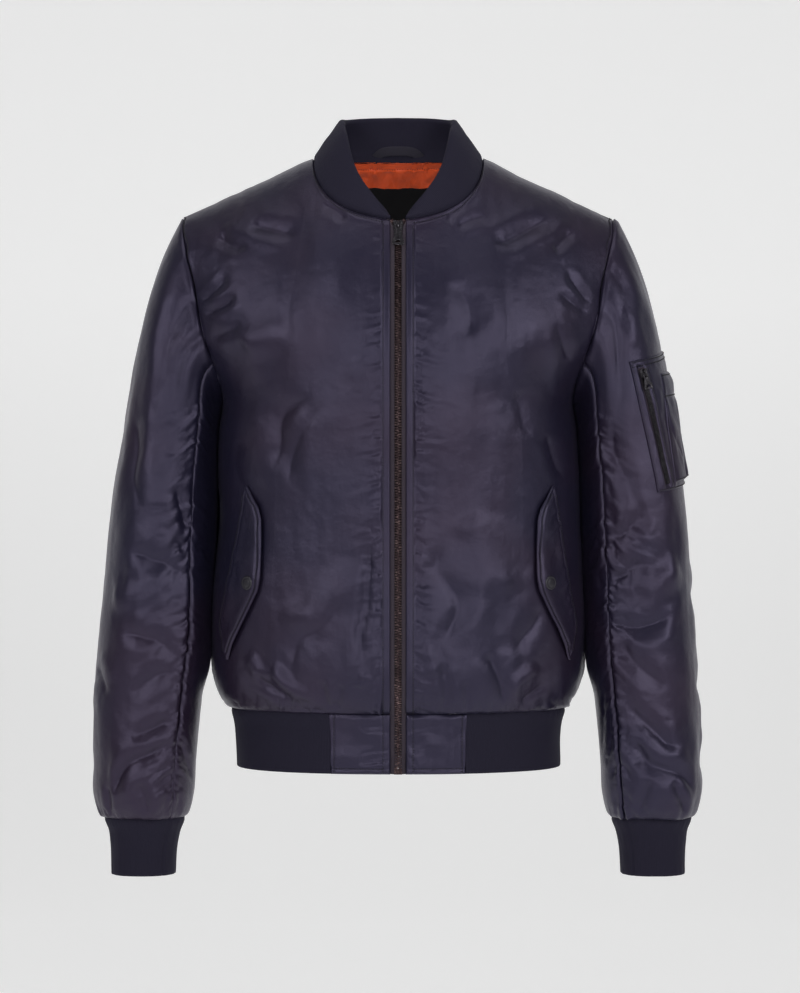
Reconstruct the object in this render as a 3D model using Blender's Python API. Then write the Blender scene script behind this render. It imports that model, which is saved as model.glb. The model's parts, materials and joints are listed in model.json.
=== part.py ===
"""Bomber jacket in padded satin nylon, filled out as if worn, with nobody in it.

Metres, +Z up. The front faces -Y, and the wearer's left is at +X. The origin is in the middle
of the neck, at the height where the collar meets the shoulders, because that is where a
wearer's shoulders carry the garment.

Every cloth piece is a grid of points on the outside of its wall, with a second grid one wall
thickness inside it. Pieces that are sewn together share the points along their seam, a seam
gap apart.
"""
import math

import bpy
import bmesh
import numpy as np
from mathutils import Matrix, Vector

# ---------------------------------------------------------------- driving dimensions
WALL = 0.0030            # shell, padding and lining together
SEAM_GAP = 0.0003
OVERLAY_LIFT = 0.0010    # what lies on the front clears its facets by this
SLEEVE_LIFT = 0.0015     # and on the sleeve, which is rounder, by this
OVERLAY_THICKNESS = 0.0016

HEM_SEAM = -0.585        # height of the seam between body and hem rib
ARMPIT = -0.255
SHOULDER_TIP = -0.0645
SHOULDER_TIP_X = 0.229
SHOULDER_SLOPE = 0.46
NECK_HALF_WIDTH = 0.0905
NECK_FRONT_DROP = 0.0715
NECK_BACK_RISE = 0.004
NECK_ROUNDNESS = 2.2
FRONT_EDGE = 0.0080      # half of the space that the zip shows in
SECTION_ROUNDNESS = 2.3  # of the body and the sleeves, 2 is an ellipse
FRONT_RIDGE_DEPTH = 0.24  # drop over which the chest rolls over the shoulder
BACK_RIDGE_DEPTH = 0.16
FAN_DROP = 0.22          # drop over which the columns spread from neckline to body

COLUMNS = 14             # of the front panel, and of each half of the back
NECK_COLUMNS = 6         # of these end at the neckline, the rest at the shoulder seam
ROWS_BELOW_ARMPIT = 9
ROWS_OF_ARMHOLE = 7
CAP_ROWS = 5             # of the sleeve, between the armhole and its first level section
UNDER_SLEEVE_STEP = 5    # armhole point where the top and under sleeve meet
TAB_COLUMNS = 3          # body columns above each hem tab

BODY_COLUMNS = ("height", "half_width", "front_depth", "back_depth")
BODY_ROWS = (
    (-0.585, 0.1785, 0.128, 0.118),
    (-0.572, 0.1890, 0.137, 0.126),
    (-0.556, 0.1945, 0.142, 0.131),
    (-0.514, 0.1965, 0.144, 0.132),
    (-0.465, 0.1965, 0.143, 0.130),
    (-0.428, 0.1945, 0.142, 0.128),
    (-0.385, 0.1915, 0.142, 0.127),
    (-0.332, 0.1910, 0.144, 0.130),
    (-0.290, 0.1890, 0.147, 0.136),
    (-0.255, 0.1860, 0.148, 0.141),
    (-0.230, 0.1975, 0.148, 0.143),
    (-0.199, 0.2236, 0.147, 0.144),
    (-0.139, 0.2490, 0.142, 0.143),
    (-0.102, 0.2720, 0.137, 0.139),
    (-0.0645, 0.2900, 0.132, 0.134),
    (0.030, 0.3000, 0.125, 0.125),
)
HEM_ROWS = (
    (-0.585, 0.1785, 0.128, 0.118),
    (-0.597, 0.1755, 0.1265, 0.1165),
    (-0.615, 0.1740, 0.1258, 0.1160),
    (-0.647, 0.1730, 0.1250, 0.1150),
)
ARMHOLE_COLUMNS = ("height", "x")
ARMHOLE_ROWS = (
    (-0.255, 0.1860),
    (-0.2425, 0.1865),
    (-0.220, 0.1925),
    (-0.199, 0.2005),
    (-0.169, 0.2085),
    (-0.139, 0.2135),
    (-0.102, 0.2225),
    (-0.081, 0.2275),
    (-0.0645, 0.2290),
)
SLEEVE_COLUMNS = ("height", "outer_x", "inner_x", "centre_y", "half_depth")
SLEEVE_ROWS = (
    (-0.300, 0.2965, 0.1945, 0.004, 0.078),
    (-0.342, 0.3035, 0.1965, 0.002, 0.077),
    (-0.385, 0.3080, 0.1975, -0.001, 0.074),
    (-0.428, 0.3120, 0.1995, -0.004, 0.0715),
    (-0.471, 0.3155, 0.2005, -0.007, 0.069),
    (-0.514, 0.3190, 0.2020, -0.010, 0.0665),
    (-0.556, 0.3220, 0.2075, -0.012, 0.064),
    (-0.599, 0.3240, 0.2120, -0.014, 0.0615),
    (-0.642, 0.3240, 0.2155, -0.016, 0.0595),
    (-0.678, 0.3235, 0.2180, -0.017, 0.056),
    (-0.692, 0.3190, 0.2215, -0.0175, 0.050),
    (-0.701, 0.3130, 0.2265, -0.018, 0.041),
)
CUFF_ROWS = (
    (-0.701, 0.3130, 0.2265, -0.018, 0.041),
    (-0.711, 0.3085, 0.2305, -0.018, 0.037),
    (-0.728, 0.3060, 0.2345, -0.018, 0.0345),
    (-0.761, 0.3050, 0.2370, -0.018, 0.034),
)
# Top edge of the collar, from the zip (0) round to the middle of the back (1).
COLLAR_COLUMNS = ("share", "x", "y", "height")
COLLAR_ROWS = (
    (0.00, 0.0085, -0.1040, -0.0680),
    (0.15, 0.0310, -0.0985, -0.0420),
    (0.30, 0.0480, -0.0800, -0.0128),
    (0.42, 0.0571, -0.0460, 0.0245),
    (0.52, 0.0615, -0.0100, 0.0400),
    (0.70, 0.0560, 0.0300, 0.0460),
    (0.85, 0.0330, 0.0480, 0.0490),
    (1.00, 0.0000, 0.0530, 0.0500),
)
COLLAR_GAP = 0.0005
COLLAR_ROLL = 0.005      # the rib stands this far outside a straight line from seam to edge

# Pocket flap: at each height, where its sewn edge and its free edge cross the front.
FLAP_COLUMNS = ("height", "sewn_x", "free_x")
FLAP_ROWS = (
    (-0.5310, 0.1785, 0.1765),
    (-0.4960, 0.1845, 0.1610),
    (-0.4575, 0.1785, 0.1425),
    (-0.4450, 0.1765, 0.1405),
    (-0.4115, 0.1708, 0.1405),
    (-0.3835, 0.1665, 0.1410),
    (-0.3700, 0.1640, 0.1445),
    (-0.3490, 0.1610, 0.1590),
)
SNAP_X = 0.1530
SNAP_HEIGHT = -0.4500
SNAP_RADIUS = 0.0076
SNAP_THICKNESS = 0.0022

TAPE_NEAR = 0.0046       # zip tape, from the chain to its edge under the front
TAPE_FAR = 0.0190
TAPE_THICKNESS = 0.0008
CHAIN_HALF = 0.0043
CHAIN_FRONT = 0.0005     # below the outside of the front
CHAIN_THICKNESS = 0.0030
SLIDER_WIDTH = 0.0098
SLIDER_LENGTH = 0.0120
PLATE = 0.0013
PULL_THICKNESS = 0.0012
PULL_LENGTH = 0.0190
ZIP_BOX_LENGTH = 0.0072
ZIP_START = 0.30         # the chain starts this share of the first row below the neckline
FRONT_SLIDER_DROP = 0.0085
STOUT_CHAIN = 0.0025     # a slider on a thicker chain than this has a back plate

# Sleeve pocket, on the wearer's left sleeve. Round the sleeve, 0 is its outermost line and
# 90 its front; heights are at the two ends of each level edge.
POCKET_TOP = (-0.219, -0.202)
POCKET_BOTTOM = (-0.356, -0.344)
POCKET_FRONT_TURN = (84.0, 71.0)     # at the top and at the bottom
POCKET_BACK_TURN = (-8.0, -14.0)
POCKET_THICKNESS = 0.0014
ARM_ZIP_TOP = (71.0, -0.2270)
ARM_ZIP_BOTTOM = (57.0, -0.3500)
ARM_ZIP_HALF = 0.0030
PEN_TOP = (43.0, -0.2300)
PEN_BOTTOM = (46.0, -0.3455)
PEN_BACK_TURN = 2.0
PEN_BULGE = 0.0030

LINING_THICKNESS = 0.0010
LINING_LIFT = np.array([0.0013, 0.0026, 0.0026])   # it hangs free below its top seam
ORANGE_DROP = 0.028      # of the lining band below the back neck
DARK_DROP = 0.075        # of the lining panel below that band
LOOP_HALF_LENGTH = 0.027
LOOP_WIDTH = 0.0085

FABRIC = (0.036, 0.033, 0.052, 1.0)
RIB = (0.022, 0.020, 0.033, 1.0)
ORANGE = (0.60, 0.085, 0.022, 1.0)
BLACK = (0.006, 0.006, 0.008, 1.0)
ZIP_METAL = (0.10, 0.072, 0.075, 1.0)


# ---------------------------------------------------------------- tables and small maths
def table(columns, rows):
    """Turns rows with named columns into one array for each name, ordered by the first."""
    ordered = np.array(sorted(rows))
    return {name: ordered[:, index] for index, name in enumerate(columns)}


BODY = table(BODY_COLUMNS, BODY_ROWS)
HEM = table(BODY_COLUMNS, HEM_ROWS)
ARMHOLE = table(ARMHOLE_COLUMNS, ARMHOLE_ROWS)
SLEEVE = table(SLEEVE_COLUMNS, SLEEVE_ROWS)
CUFF = table(SLEEVE_COLUMNS, CUFF_ROWS)
COLLAR = table(COLLAR_COLUMNS, COLLAR_ROWS)
FLAP = table(FLAP_COLUMNS, FLAP_ROWS)


def read(source, name, at):
    """A smooth curve through one column of a table, against the table's first column."""
    knots = next(iter(source.values()))
    values = source[name]
    at = np.clip(np.asarray(at, float), knots[0], knots[-1])
    slopes = np.gradient(values, knots)
    index = np.clip(np.searchsorted(knots, at) - 1, 0, len(knots) - 2)
    span = knots[index + 1] - knots[index]
    t = (at - knots[index]) / span
    rise = t * t * (3.0 - 2.0 * t)
    start = t * (1.0 - t) ** 2 * span * slopes[index]
    end = t * t * (1.0 - t) * span * slopes[index + 1]
    return values[index] * (1.0 - rise) + values[index + 1] * rise + start - end


def ease(value):
    value = np.clip(value, 0.0, 1.0)
    return value * value * (3.0 - 2.0 * value)


def unit(vectors):
    return vectors / np.maximum(np.linalg.norm(vectors, axis=-1, keepdims=True), 1e-9)


def rounded(angle_part, roundness):
    """One coordinate of a superellipse, from the sine or cosine of its turn."""
    return np.sign(angle_part) * np.abs(angle_part) ** (2.0 / roundness)


# ---------------------------------------------------------------- form of the body
def ridge(x):
    """Height of the shoulder line, carried on across the neck as an arch."""
    x = np.abs(x)
    arch = SHOULDER_SLOPE / (2.0 * NECK_HALF_WIDTH)
    inside = arch * (NECK_HALF_WIDTH ** 2 - x ** 2)
    outside = -SHOULDER_SLOPE * (x - NECK_HALF_WIDTH)
    return np.where(x < NECK_HALF_WIDTH, inside, outside)


def body_depth(x, height, side):
    """How far the outside of the body lies in front of (-1) or behind (+1) its side seams."""
    name = "front_depth" if side < 0 else "back_depth"
    roll = FRONT_RIDGE_DEPTH if side < 0 else BACK_RIDGE_DEPTH
    across = np.clip(np.abs(x) / read(BODY, "half_width", height), 0.0, 1.0)
    section = (1.0 - across ** SECTION_ROUNDNESS) ** (1.0 / SECTION_ROUNDNESS)
    fall = np.clip((ridge(x) - height) / roll, 0.0, 1.0)
    over = np.sqrt(1.0 - (1.0 - fall) ** 2)
    return side * read(BODY, name, height) * section * over


def side_edge(height):
    """Where a body panel ends: at the side seam, or above the armpit at the armhole."""
    seam = read(BODY, "half_width", height)
    return np.where(height > ARMPIT, read(ARMHOLE, "x", height), seam)


def turn(x, height):
    across = np.clip(x / read(BODY, "half_width", height), 0.0, 1.0)
    return np.arcsin(across ** (SECTION_ROUNDNESS / 2.0))


def turn_span(height, edge):
    first = turn(np.full_like(height, edge), height)
    return first, turn(side_edge(height), height)


def top_edge(share, side, edge):
    """A point of the neckline or of the shoulder seam, by its share of the panel's width."""
    neck_share = NECK_COLUMNS / COLUMNS
    if share < neck_share:
        start = math.asin((edge / NECK_HALF_WIDTH) ** (NECK_ROUNDNESS / 2.0))
        angle = start + (math.pi / 2.0 - start) * share / neck_share
        x = NECK_HALF_WIDTH * rounded(math.sin(angle), NECK_ROUNDNESS)
        drop = -NECK_FRONT_DROP if side < 0 else NECK_BACK_RISE
        return x, drop * rounded(math.cos(angle), NECK_ROUNDNESS)
    along = (share - neck_share) / (1.0 - neck_share)
    x = NECK_HALF_WIDTH + (SHOULDER_TIP_X - NECK_HALF_WIDTH) * along
    return x, float(ridge(x))


def armhole_heights():
    middle = (SHOULDER_TIP + ARMPIT) / 2.0
    reach = (SHOULDER_TIP - ARMPIT) / 2.0
    return middle - reach * np.cos(np.linspace(0.0, math.pi, ROWS_OF_ARMHOLE + 1))


def panel_column(share, side, edge):
    """Points of one column of a body panel, from the hem seam to its top edge."""
    rows = ROWS_BELOW_ARMPIT + ROWS_OF_ARMHOLE
    if share >= 1.0:
        below = np.linspace(HEM_SEAM, ARMPIT, ROWS_BELOW_ARMPIT + 1)
        height = np.concatenate([below, armhole_heights()[1:]])
        x = side_edge(height)
        y = body_depth(x, height, side)
        y[:ROWS_BELOW_ARMPIT + 1] = 0.0
        y[-1] = 0.0
        return np.stack([x, y, height], axis=-1)
    top_x, top_height = top_edge(share, side, edge)
    height = top_height + (HEM_SEAM - top_height) * np.linspace(0.0, 1.0, 241) ** 2
    first, last = turn_span(height, edge)
    top_share = (turn(top_x, height[0]) - first[0]) / (last[0] - first[0])
    spread = ease((top_height - height) / FAN_DROP)
    angle = first + (last - first) * (top_share + (share - top_share) * spread)
    x = read(BODY, "half_width", height) * rounded(np.sin(angle), SECTION_ROUNDNESS)
    line = np.stack([x, body_depth(x, height, side), height], axis=-1)[::-1]
    run = np.concatenate([[0.0], np.cumsum(np.linalg.norm(np.diff(line, axis=0), axis=1))])
    stops = np.linspace(0.0, run[-1], rows + 1)
    return np.stack([np.interp(stops, run, line[:, axis]) for axis in range(3)], axis=-1)


def grid_normals(grid):
    """Unit normals of a grid of points, from its rows and columns."""
    along_rows = np.gradient(grid, axis=1)
    along_columns = np.gradient(grid, axis=0)
    return unit(np.cross(along_rows, along_columns))


def panel(side, edge):
    """Outer and inner points of a body panel on the +X side, rows upward, columns outward."""
    shares = np.arange(COLUMNS + 1) / COLUMNS
    outer = np.stack([panel_column(share, side, edge) for share in shares], axis=1)
    normals = grid_normals(outer)
    if side > 0:
        normals = -normals
    seam_rows = slice(0, ROWS_BELOW_ARMPIT + 1)
    normals[seam_rows, -1, 1] = 0.0
    normals[-1, NECK_COLUMNS:, 1] = 0.0
    if edge == 0.0:
        normals[:, 0, 0] = 0.0
    normals = unit(normals)
    return outer, normals


def keep_off_seams(points, side):
    """Holds a panel half a seam gap away from the plane of the side and shoulder seams."""
    held = points.copy()
    limit = side * SEAM_GAP / 2.0
    held[..., 1] = np.minimum(held[..., 1], limit) if side < 0 else np.maximum(held[..., 1], limit)
    return held


# ---------------------------------------------------------------- form of the sleeve
def level_section(source, height, angle):
    """Point of a level section of the sleeve or cuff, 0 at its outermost line, 90 in front."""
    outer = read(source, "outer_x", height)
    inner = read(source, "inner_x", height)
    across = (outer - inner) / 2.0 * rounded(np.cos(angle), SECTION_ROUNDNESS)
    depth = read(source, "half_depth", height) * rounded(np.sin(angle), SECTION_ROUNDNESS)
    y = read(source, "centre_y", height) - depth
    return np.stack([(outer + inner) / 2.0 + across, y, height + 0.0 * angle], axis=-1)


def sleeve_heights():
    """Levels below the cap, a row for each of the table's sections."""
    return SLEEVE["height"][::-1]


def sleeve_grid(armhole):
    """Rows from the armhole down to the cuff; columns round the arm from the under-sleeve's
    back seam over the outermost line to the front, and on round the underside."""
    count = armhole.shape[0] - 1
    angles = 2.0 * math.pi * np.arange(count + 1) / count
    first = level_section(SLEEVE, np.full(count + 1, SLEEVE["height"][-1]), angles)
    reach = np.linalg.norm(first - armhole, axis=1, keepdims=True)
    dip = np.radians(53.0 - 23.0 * (1.0 - np.cos(angles)) / 2.0)
    leave = unit(np.stack([np.cos(dip), -0.3 * np.sin(angles), -np.sin(dip)], axis=-1))
    arrive = unit(np.array([[0.16, 0.0, -0.987]]))
    near = armhole + 0.29 * reach * leave
    far = first - 0.33 * reach * arrive
    rows = []
    for t in np.linspace(0.0, 1.0, CAP_ROWS + 1):
        rows.append((1 - t) ** 3 * armhole + 3 * t * (1 - t) ** 2 * near
                    + 3 * t * t * (1 - t) * far + t ** 3 * first)
    for height in sleeve_heights()[1:]:
        rows.append(level_section(SLEEVE, np.full(count + 1, height), angles))
    return np.stack(rows, axis=0)


def ring_normals(grid):
    """Normals of a closed ring grid, whose last column repeats its first."""
    padded = np.concatenate([grid[:, -2:-1], grid, grid[:, 1:2]], axis=1)
    along_columns = np.gradient(grid, axis=0)
    return unit(np.cross(padded[:, 2:] - padded[:, :-2], along_columns))


# ---------------------------------------------------------------- solids from grids
def material(name, colour, roughness, metallic=0.0):
    made = bpy.data.materials.get(name)
    if made is None:
        made = bpy.data.materials.new(name)
        made.use_nodes = True
        shader = made.node_tree.nodes["Principled BSDF"]
        shader.inputs["Base Color"].default_value = colour
        shader.inputs["Roughness"].default_value = roughness
        shader.inputs["Metallic"].default_value = metallic
    return made


def add_object(name, mesh, finish, place=None):
    made = bpy.data.objects.new(name, mesh)
    bpy.context.scene.collection.objects.link(made)
    mesh.materials.clear()
    mesh.materials.append(finish)
    if place is not None:
        made.matrix_world = place
    return made


def rim_faces(outer, inner):
    """Triangles across the wall along an edge. Both sides of a seam cut their rim along the
    same diagonals, which start at the higher outer point."""
    faces = []
    for (point_a, a), (point_b, b), a_in, b_in in zip(outer, outer[1:], inner, inner[1:]):
        key_a = point_a[2] + 0.31 * point_a[0] + 0.17 * point_a[1]
        key_b = point_b[2] + 0.31 * point_b[0] + 0.17 * point_b[1]
        if key_a > key_b:
            faces += [(a, b, b_in), (a, b_in, a_in)]
        else:
            faces += [(a, b, a_in), (b, b_in, a_in)]
    return faces


def shell(name, outer, inner, finish, ring=False):
    """A closed wall between two grids of points. A ring's last column meets its first."""
    if ring:
        outer = outer[:, :-1]
        inner = inner[:, :-1]
    rows, columns = outer.shape[:2]
    points = np.concatenate([outer.reshape(-1, 3), inner.reshape(-1, 3)])
    skin = rows * columns

    def at(row, column):
        return row * columns + column % columns

    faces = []
    steps = columns if ring else columns - 1
    for row in range(rows - 1):
        for column in range(steps):
            a, b = at(row, column), at(row, column + 1)
            c, d = at(row + 1, column + 1), at(row + 1, column)
            faces += [(a, b, c), (a, c, d)]
            faces += [(skin + a, skin + c, skin + b), (skin + a, skin + d, skin + c)]
    level = range(columns + 1 if ring else columns)
    edges = [[at(0, c) for c in level], [at(rows - 1, c) for c in level]]
    if not ring:
        edges += [[at(r, 0) for r in range(rows)], [at(r, columns - 1) for r in range(rows)]]
    for edge in edges:
        faces += rim_faces([(points[i], i) for i in edge], [skin + i for i in edge])
    mesh = bpy.data.meshes.new(name)
    mesh.from_pydata([tuple(p) for p in points], [], faces)
    build = bmesh.new()
    build.from_mesh(mesh)
    bmesh.ops.recalc_face_normals(build, faces=build.faces)
    build.to_mesh(mesh)
    build.free()
    mesh.shade_smooth()
    mesh.set_sharp_from_angle(angle=math.radians(50.0))
    return add_object(name, mesh, finish)


def mirrored(grid):
    return grid * np.array([-1.0, 1.0, 1.0])


def on_grid(grid, normals, column, height):
    """Point and normal of a grid at a column, which may lie between two, and a height."""
    low = int(np.clip(math.floor(column), 0, grid.shape[1] - 2))
    part = column - low
    line = grid[:, low] * (1.0 - part) + grid[:, low + 1] * part
    facing = normals[:, low] * (1.0 - part) + normals[:, low + 1] * part
    order = np.argsort(line[:, 2])
    level = line[order, 2]
    point = [np.interp(height, level, line[order, axis]) for axis in range(3)]
    normal = [np.interp(height, level, facing[order, axis]) for axis in range(3)]
    return np.array(point), unit(np.array(normal))


def overlay(base, columns, heights, lift, thickness):
    """Outer and inner grids of a piece that lies on a panel, made from the panel's points."""
    grid, normals = base
    outer = np.zeros(columns.shape + (3,))
    inner = np.zeros(columns.shape + (3,))
    for index in np.ndindex(columns.shape):
        point, normal = on_grid(grid, normals, columns[index], heights[index])
        rise = lift[index] if isinstance(lift, np.ndarray) else lift
        inner[index] = point + normal * rise
        outer[index] = point + normal * (rise + thickness)
    return outer, inner


# ---------------------------------------------------------------- body, sleeves and ribs
def build_body(shell_cloth):
    front, front_normals = panel(-1, FRONT_EDGE)
    back, back_normals = panel(1, 0.0)
    armhole = np.concatenate([front[ROWS_BELOW_ARMPIT:, -1][::-1],
                              back[ROWS_BELOW_ARMPIT + 1:, -1]])
    sleeve = sleeve_grid(armhole)
    sleeve_normals = ring_normals(sleeve)
    at_front = front_normals[ROWS_BELOW_ARMPIT:, -1][::-1]
    at_back = back_normals[ROWS_BELOW_ARMPIT + 1:, -1]
    seam_normals = unit(np.concatenate([at_front, at_back]) + sleeve_normals[0])
    seam_normals[[0, -1]] = unit(seam_normals[0] * np.array([1.0, 0.0, 1.0]))
    seam_normals[ROWS_OF_ARMHOLE] = unit(np.array([0.75, 0.0, -0.65]))
    front_normals[ROWS_BELOW_ARMPIT:, -1] = seam_normals[:ROWS_OF_ARMHOLE + 1][::-1]
    back_normals[ROWS_BELOW_ARMPIT:, -1] = seam_normals[ROWS_OF_ARMHOLE:]
    sleeve_normals[0] = seam_normals

    front_outer = keep_off_seams(front, -1)
    front_inner = keep_off_seams(front - front_normals * WALL, -1)
    back_outer = keep_off_seams(back, 1)
    back_inner = keep_off_seams(back - back_normals * WALL, 1)
    shell("front_left", front_outer, front_inner, shell_cloth)
    shell("front_right", mirrored(front_outer), mirrored(front_inner), shell_cloth)
    whole_outer = np.concatenate([mirrored(back_outer)[:, :0:-1], back_outer], axis=1)
    whole_inner = np.concatenate([mirrored(back_inner)[:, :0:-1], back_inner], axis=1)
    shell("back", whole_outer, whole_inner, shell_cloth)
    return {
        "front": (front_outer, front_normals, front_inner),
        "back": (back_outer, back_normals, back_inner),
        "sleeve": (sleeve, sleeve_normals),
    }


def build_sleeves(sleeve, normals, shell_cloth):
    """Top and under sleeve, which meet at a front and a back seam, and the moved grids."""
    around = np.gradient(sleeve[0], axis=0)
    across = unit(np.cross(around, normals[0]))
    across *= np.sign(across[:, :1] + 1e-9)
    outer = sleeve.copy()
    outer[0] += across * SEAM_GAP
    inner = sleeve - normals * WALL
    inner[0] += across * SEAM_GAP
    count = 2 * ROWS_OF_ARMHOLE
    top_columns = list(range(count - UNDER_SLEEVE_STEP, count)) + list(
        range(UNDER_SLEEVE_STEP + 1))
    under_columns = list(range(UNDER_SLEEVE_STEP, count - UNDER_SLEEVE_STEP + 1))
    tangent = unit(np.gradient(outer, axis=1))

    def pulled(columns):
        """The two seams of a piece, half a seam gap inside their line."""
        piece_outer = outer[:, columns].copy()
        piece_inner = inner[:, columns].copy()
        for edge, sign in ((0, 1.0), (-1, -1.0)):
            step = tangent[:, columns[edge]] * sign * SEAM_GAP / 2.0
            piece_outer[:, edge] += step
            piece_inner[:, edge] += step
        return piece_outer, piece_inner

    for part, columns in (("top", top_columns), ("under", under_columns)):
        piece_outer, piece_inner = pulled(columns)
        shell(f"sleeve_{part}_left", piece_outer, piece_inner, shell_cloth)
        shell(f"sleeve_{part}_right", mirrored(piece_outer), mirrored(piece_inner), shell_cloth)
    return outer[:, top_columns], normals[:, top_columns], outer, inner


def build_cuffs(sleeve_outer, sleeve_inner, rib):
    """Each cuff starts from the last ring of its sleeve, a seam gap lower."""
    down = np.array([0.0, 0.0, -SEAM_GAP])
    count = sleeve_outer.shape[1]
    angles = 2.0 * math.pi * np.arange(count) / (count - 1)
    rows = [level_section(CUFF, np.full(count, height), angles)
            for height in CUFF["height"][::-1][1:]]
    outer = np.stack([sleeve_outer[-1] + down] + rows, axis=0)
    inner = outer - ring_normals(outer) * WALL
    inner[0] = sleeve_inner[-1] + down
    inner[-1, :, 2] = outer[-1, :, 2]
    shell("cuff_left", outer, inner, rib, ring=True)
    shell("cuff_right", mirrored(outer), mirrored(inner), rib, ring=True)


def hem_part(top_outer, top_inner, side):
    """Rows of the hem below a stretch of the body's bottom edge, on the +X side."""
    scale_x = HEM["half_width"] / HEM["half_width"][-1]
    name = "front_depth" if side < 0 else "back_depth"
    scale_y = HEM[name] / HEM[name][-1]
    outer_rows, inner_rows = [], []
    for index in range(len(HEM["height"]) - 1, -1, -1):
        size = np.array([scale_x[index], scale_y[index], 1.0])
        drop = HEM["height"][index] - HEM_SEAM - SEAM_GAP
        outer_rows.append(top_outer * size + np.array([0.0, 0.0, drop]))
        inner_rows.append(top_inner * size + np.array([0.0, 0.0, drop]))
    outer, inner = np.stack(outer_rows), np.stack(inner_rows)
    inner[..., 2] = outer[..., 2]
    return outer, inner


def build_hem(body, rib, shell_cloth):
    """The rib from tab to tab round the back, and the two nylon tabs beside the zip."""
    front_outer, _, front_inner = body["front"]
    back_outer, _, back_inner = body["back"]
    gap = np.array([SEAM_GAP, 0.0, 0.0])
    outer, inner = hem_part(front_outer[0], front_inner[0], -1)
    tab_outer, tab_inner = outer[:, :TAB_COLUMNS + 1].copy(), inner[:, :TAB_COLUMNS + 1].copy()
    tab_outer[:, -1] -= gap
    tab_inner[:, -1] -= gap
    tab_outer[..., 0] = np.maximum(tab_outer[..., 0], FRONT_EDGE)
    tab_inner[..., 0] = np.maximum(tab_inner[..., 0], FRONT_EDGE)
    shell("hem_tab_left", tab_outer, tab_inner, shell_cloth)
    shell("hem_tab_right", mirrored(tab_outer), mirrored(tab_inner), shell_cloth)
    side_outer, side_inner = outer[:, TAB_COLUMNS:-1], inner[:, TAB_COLUMNS:-1]
    rear_outer, rear_inner = hem_part(back_outer[0], back_inner[0], 1)
    half_outer = np.concatenate([side_outer, rear_outer[:, ::-1]], axis=1)
    half_inner = np.concatenate([side_inner, rear_inner[:, ::-1]], axis=1)
    whole_outer = np.concatenate([half_outer, mirrored(half_outer)[:, -2::-1]], axis=1)
    whole_inner = np.concatenate([half_inner, mirrored(half_inner)[:, -2::-1]], axis=1)
    shell("hem_rib", whole_outer, whole_inner, rib)
    return tab_outer, tab_inner


def build_collar(body, rib):
    """The collar rises from the body's own neckline points to its top edge."""
    front_outer, _, front_inner = body["front"]
    back_outer, _, back_inner = body["back"]
    half = slice(0, NECK_COLUMNS + 1)
    seam_outer = np.concatenate([front_outer[-1, half], back_outer[-1, half][-2::-1]])
    seam_inner = np.concatenate([front_inner[-1, half], back_inner[-1, half][-2::-1]])
    shares = np.linspace(0.0, 1.0, len(seam_outer))
    edge = np.stack([read(COLLAR, name, shares) for name in ("x", "y", "height")], axis=-1)
    rise = unit(edge - seam_outer) * COLLAR_GAP
    run = np.gradient(seam_outer, axis=0)
    out = unit(np.cross(run, edge - seam_outer))
    middle = (seam_outer + edge) / 2.0 + out * COLLAR_ROLL
    rows = []
    for t in (0.0, 0.35, 0.7, 1.0):
        rows.append((1 - t) ** 2 * (seam_outer + rise) + 2 * t * (1 - t) * middle + t * t * edge)
    outer = np.stack(rows, axis=0)
    normals = unit(np.cross(np.gradient(outer, axis=1), np.gradient(outer, axis=0)))
    normals[:, -1, 0] = 0.0
    normals = unit(normals)
    thin = np.minimum(1.0, 0.25 + 3.0 * shares)[None, :, None]
    inner = outer - normals * WALL * thin
    inner[0] = seam_inner + rise
    whole_outer = np.concatenate([outer, mirrored(outer)[:, -2::-1]], axis=1)
    whole_inner = np.concatenate([inner, mirrored(inner)[:, -2::-1]], axis=1)
    shell("collar", whole_outer, whole_inner, rib)
    return outer, inner, normals


def build_linings(body, orange, black):
    """Lining that shows inside the back neck: a bright band, and the dark panel below it."""
    _, normals, inner = body["back"]
    columns = np.arange(NECK_COLUMNS)
    lift = LINING_LIFT[:, None]
    stretches = (
        ("neck_lining", orange, 0.0010, ORANGE_DROP),
        ("back_lining", black, ORANGE_DROP + SEAM_GAP, ORANGE_DROP + DARK_DROP),
    )
    for name, finish, start, end in stretches:
        face, far = [], []
        for column in columns:
            line = inner[::-1, column]
            facing = normals[::-1, column]
            steps = np.linalg.norm(np.diff(line, axis=0), axis=1)
            run = np.concatenate([[0.0], np.cumsum(steps)])
            stops = np.linspace(start, end, 3)
            point = np.stack([np.interp(stops, run, line[:, k]) for k in range(3)], axis=-1)
            normal = unit(np.stack([np.interp(stops, run, facing[:, k]) for k in range(3)],
                                   axis=-1))
            far.append(point - normal * lift)
            face.append(point - normal * (lift + LINING_THICKNESS))
        half_face, half_far = np.stack(face, axis=1), np.stack(far, axis=1)
        whole_face = np.concatenate([mirrored(half_face)[:, :0:-1], half_face], axis=1)
        whole_far = np.concatenate([mirrored(half_far)[:, :0:-1], half_far], axis=1)
        shell(name, whole_face, whole_far, finish)


# ---------------------------------------------------------------- pockets
def front_column(x, height):
    """Column of the front panel that passes a width, at a height below the armpit."""
    first, last = turn_span(np.array([height]), FRONT_EDGE)
    here = turn(np.array([x]), np.array([height]))
    return float(((here - first) / (last - first))[0] * COLUMNS)


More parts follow.
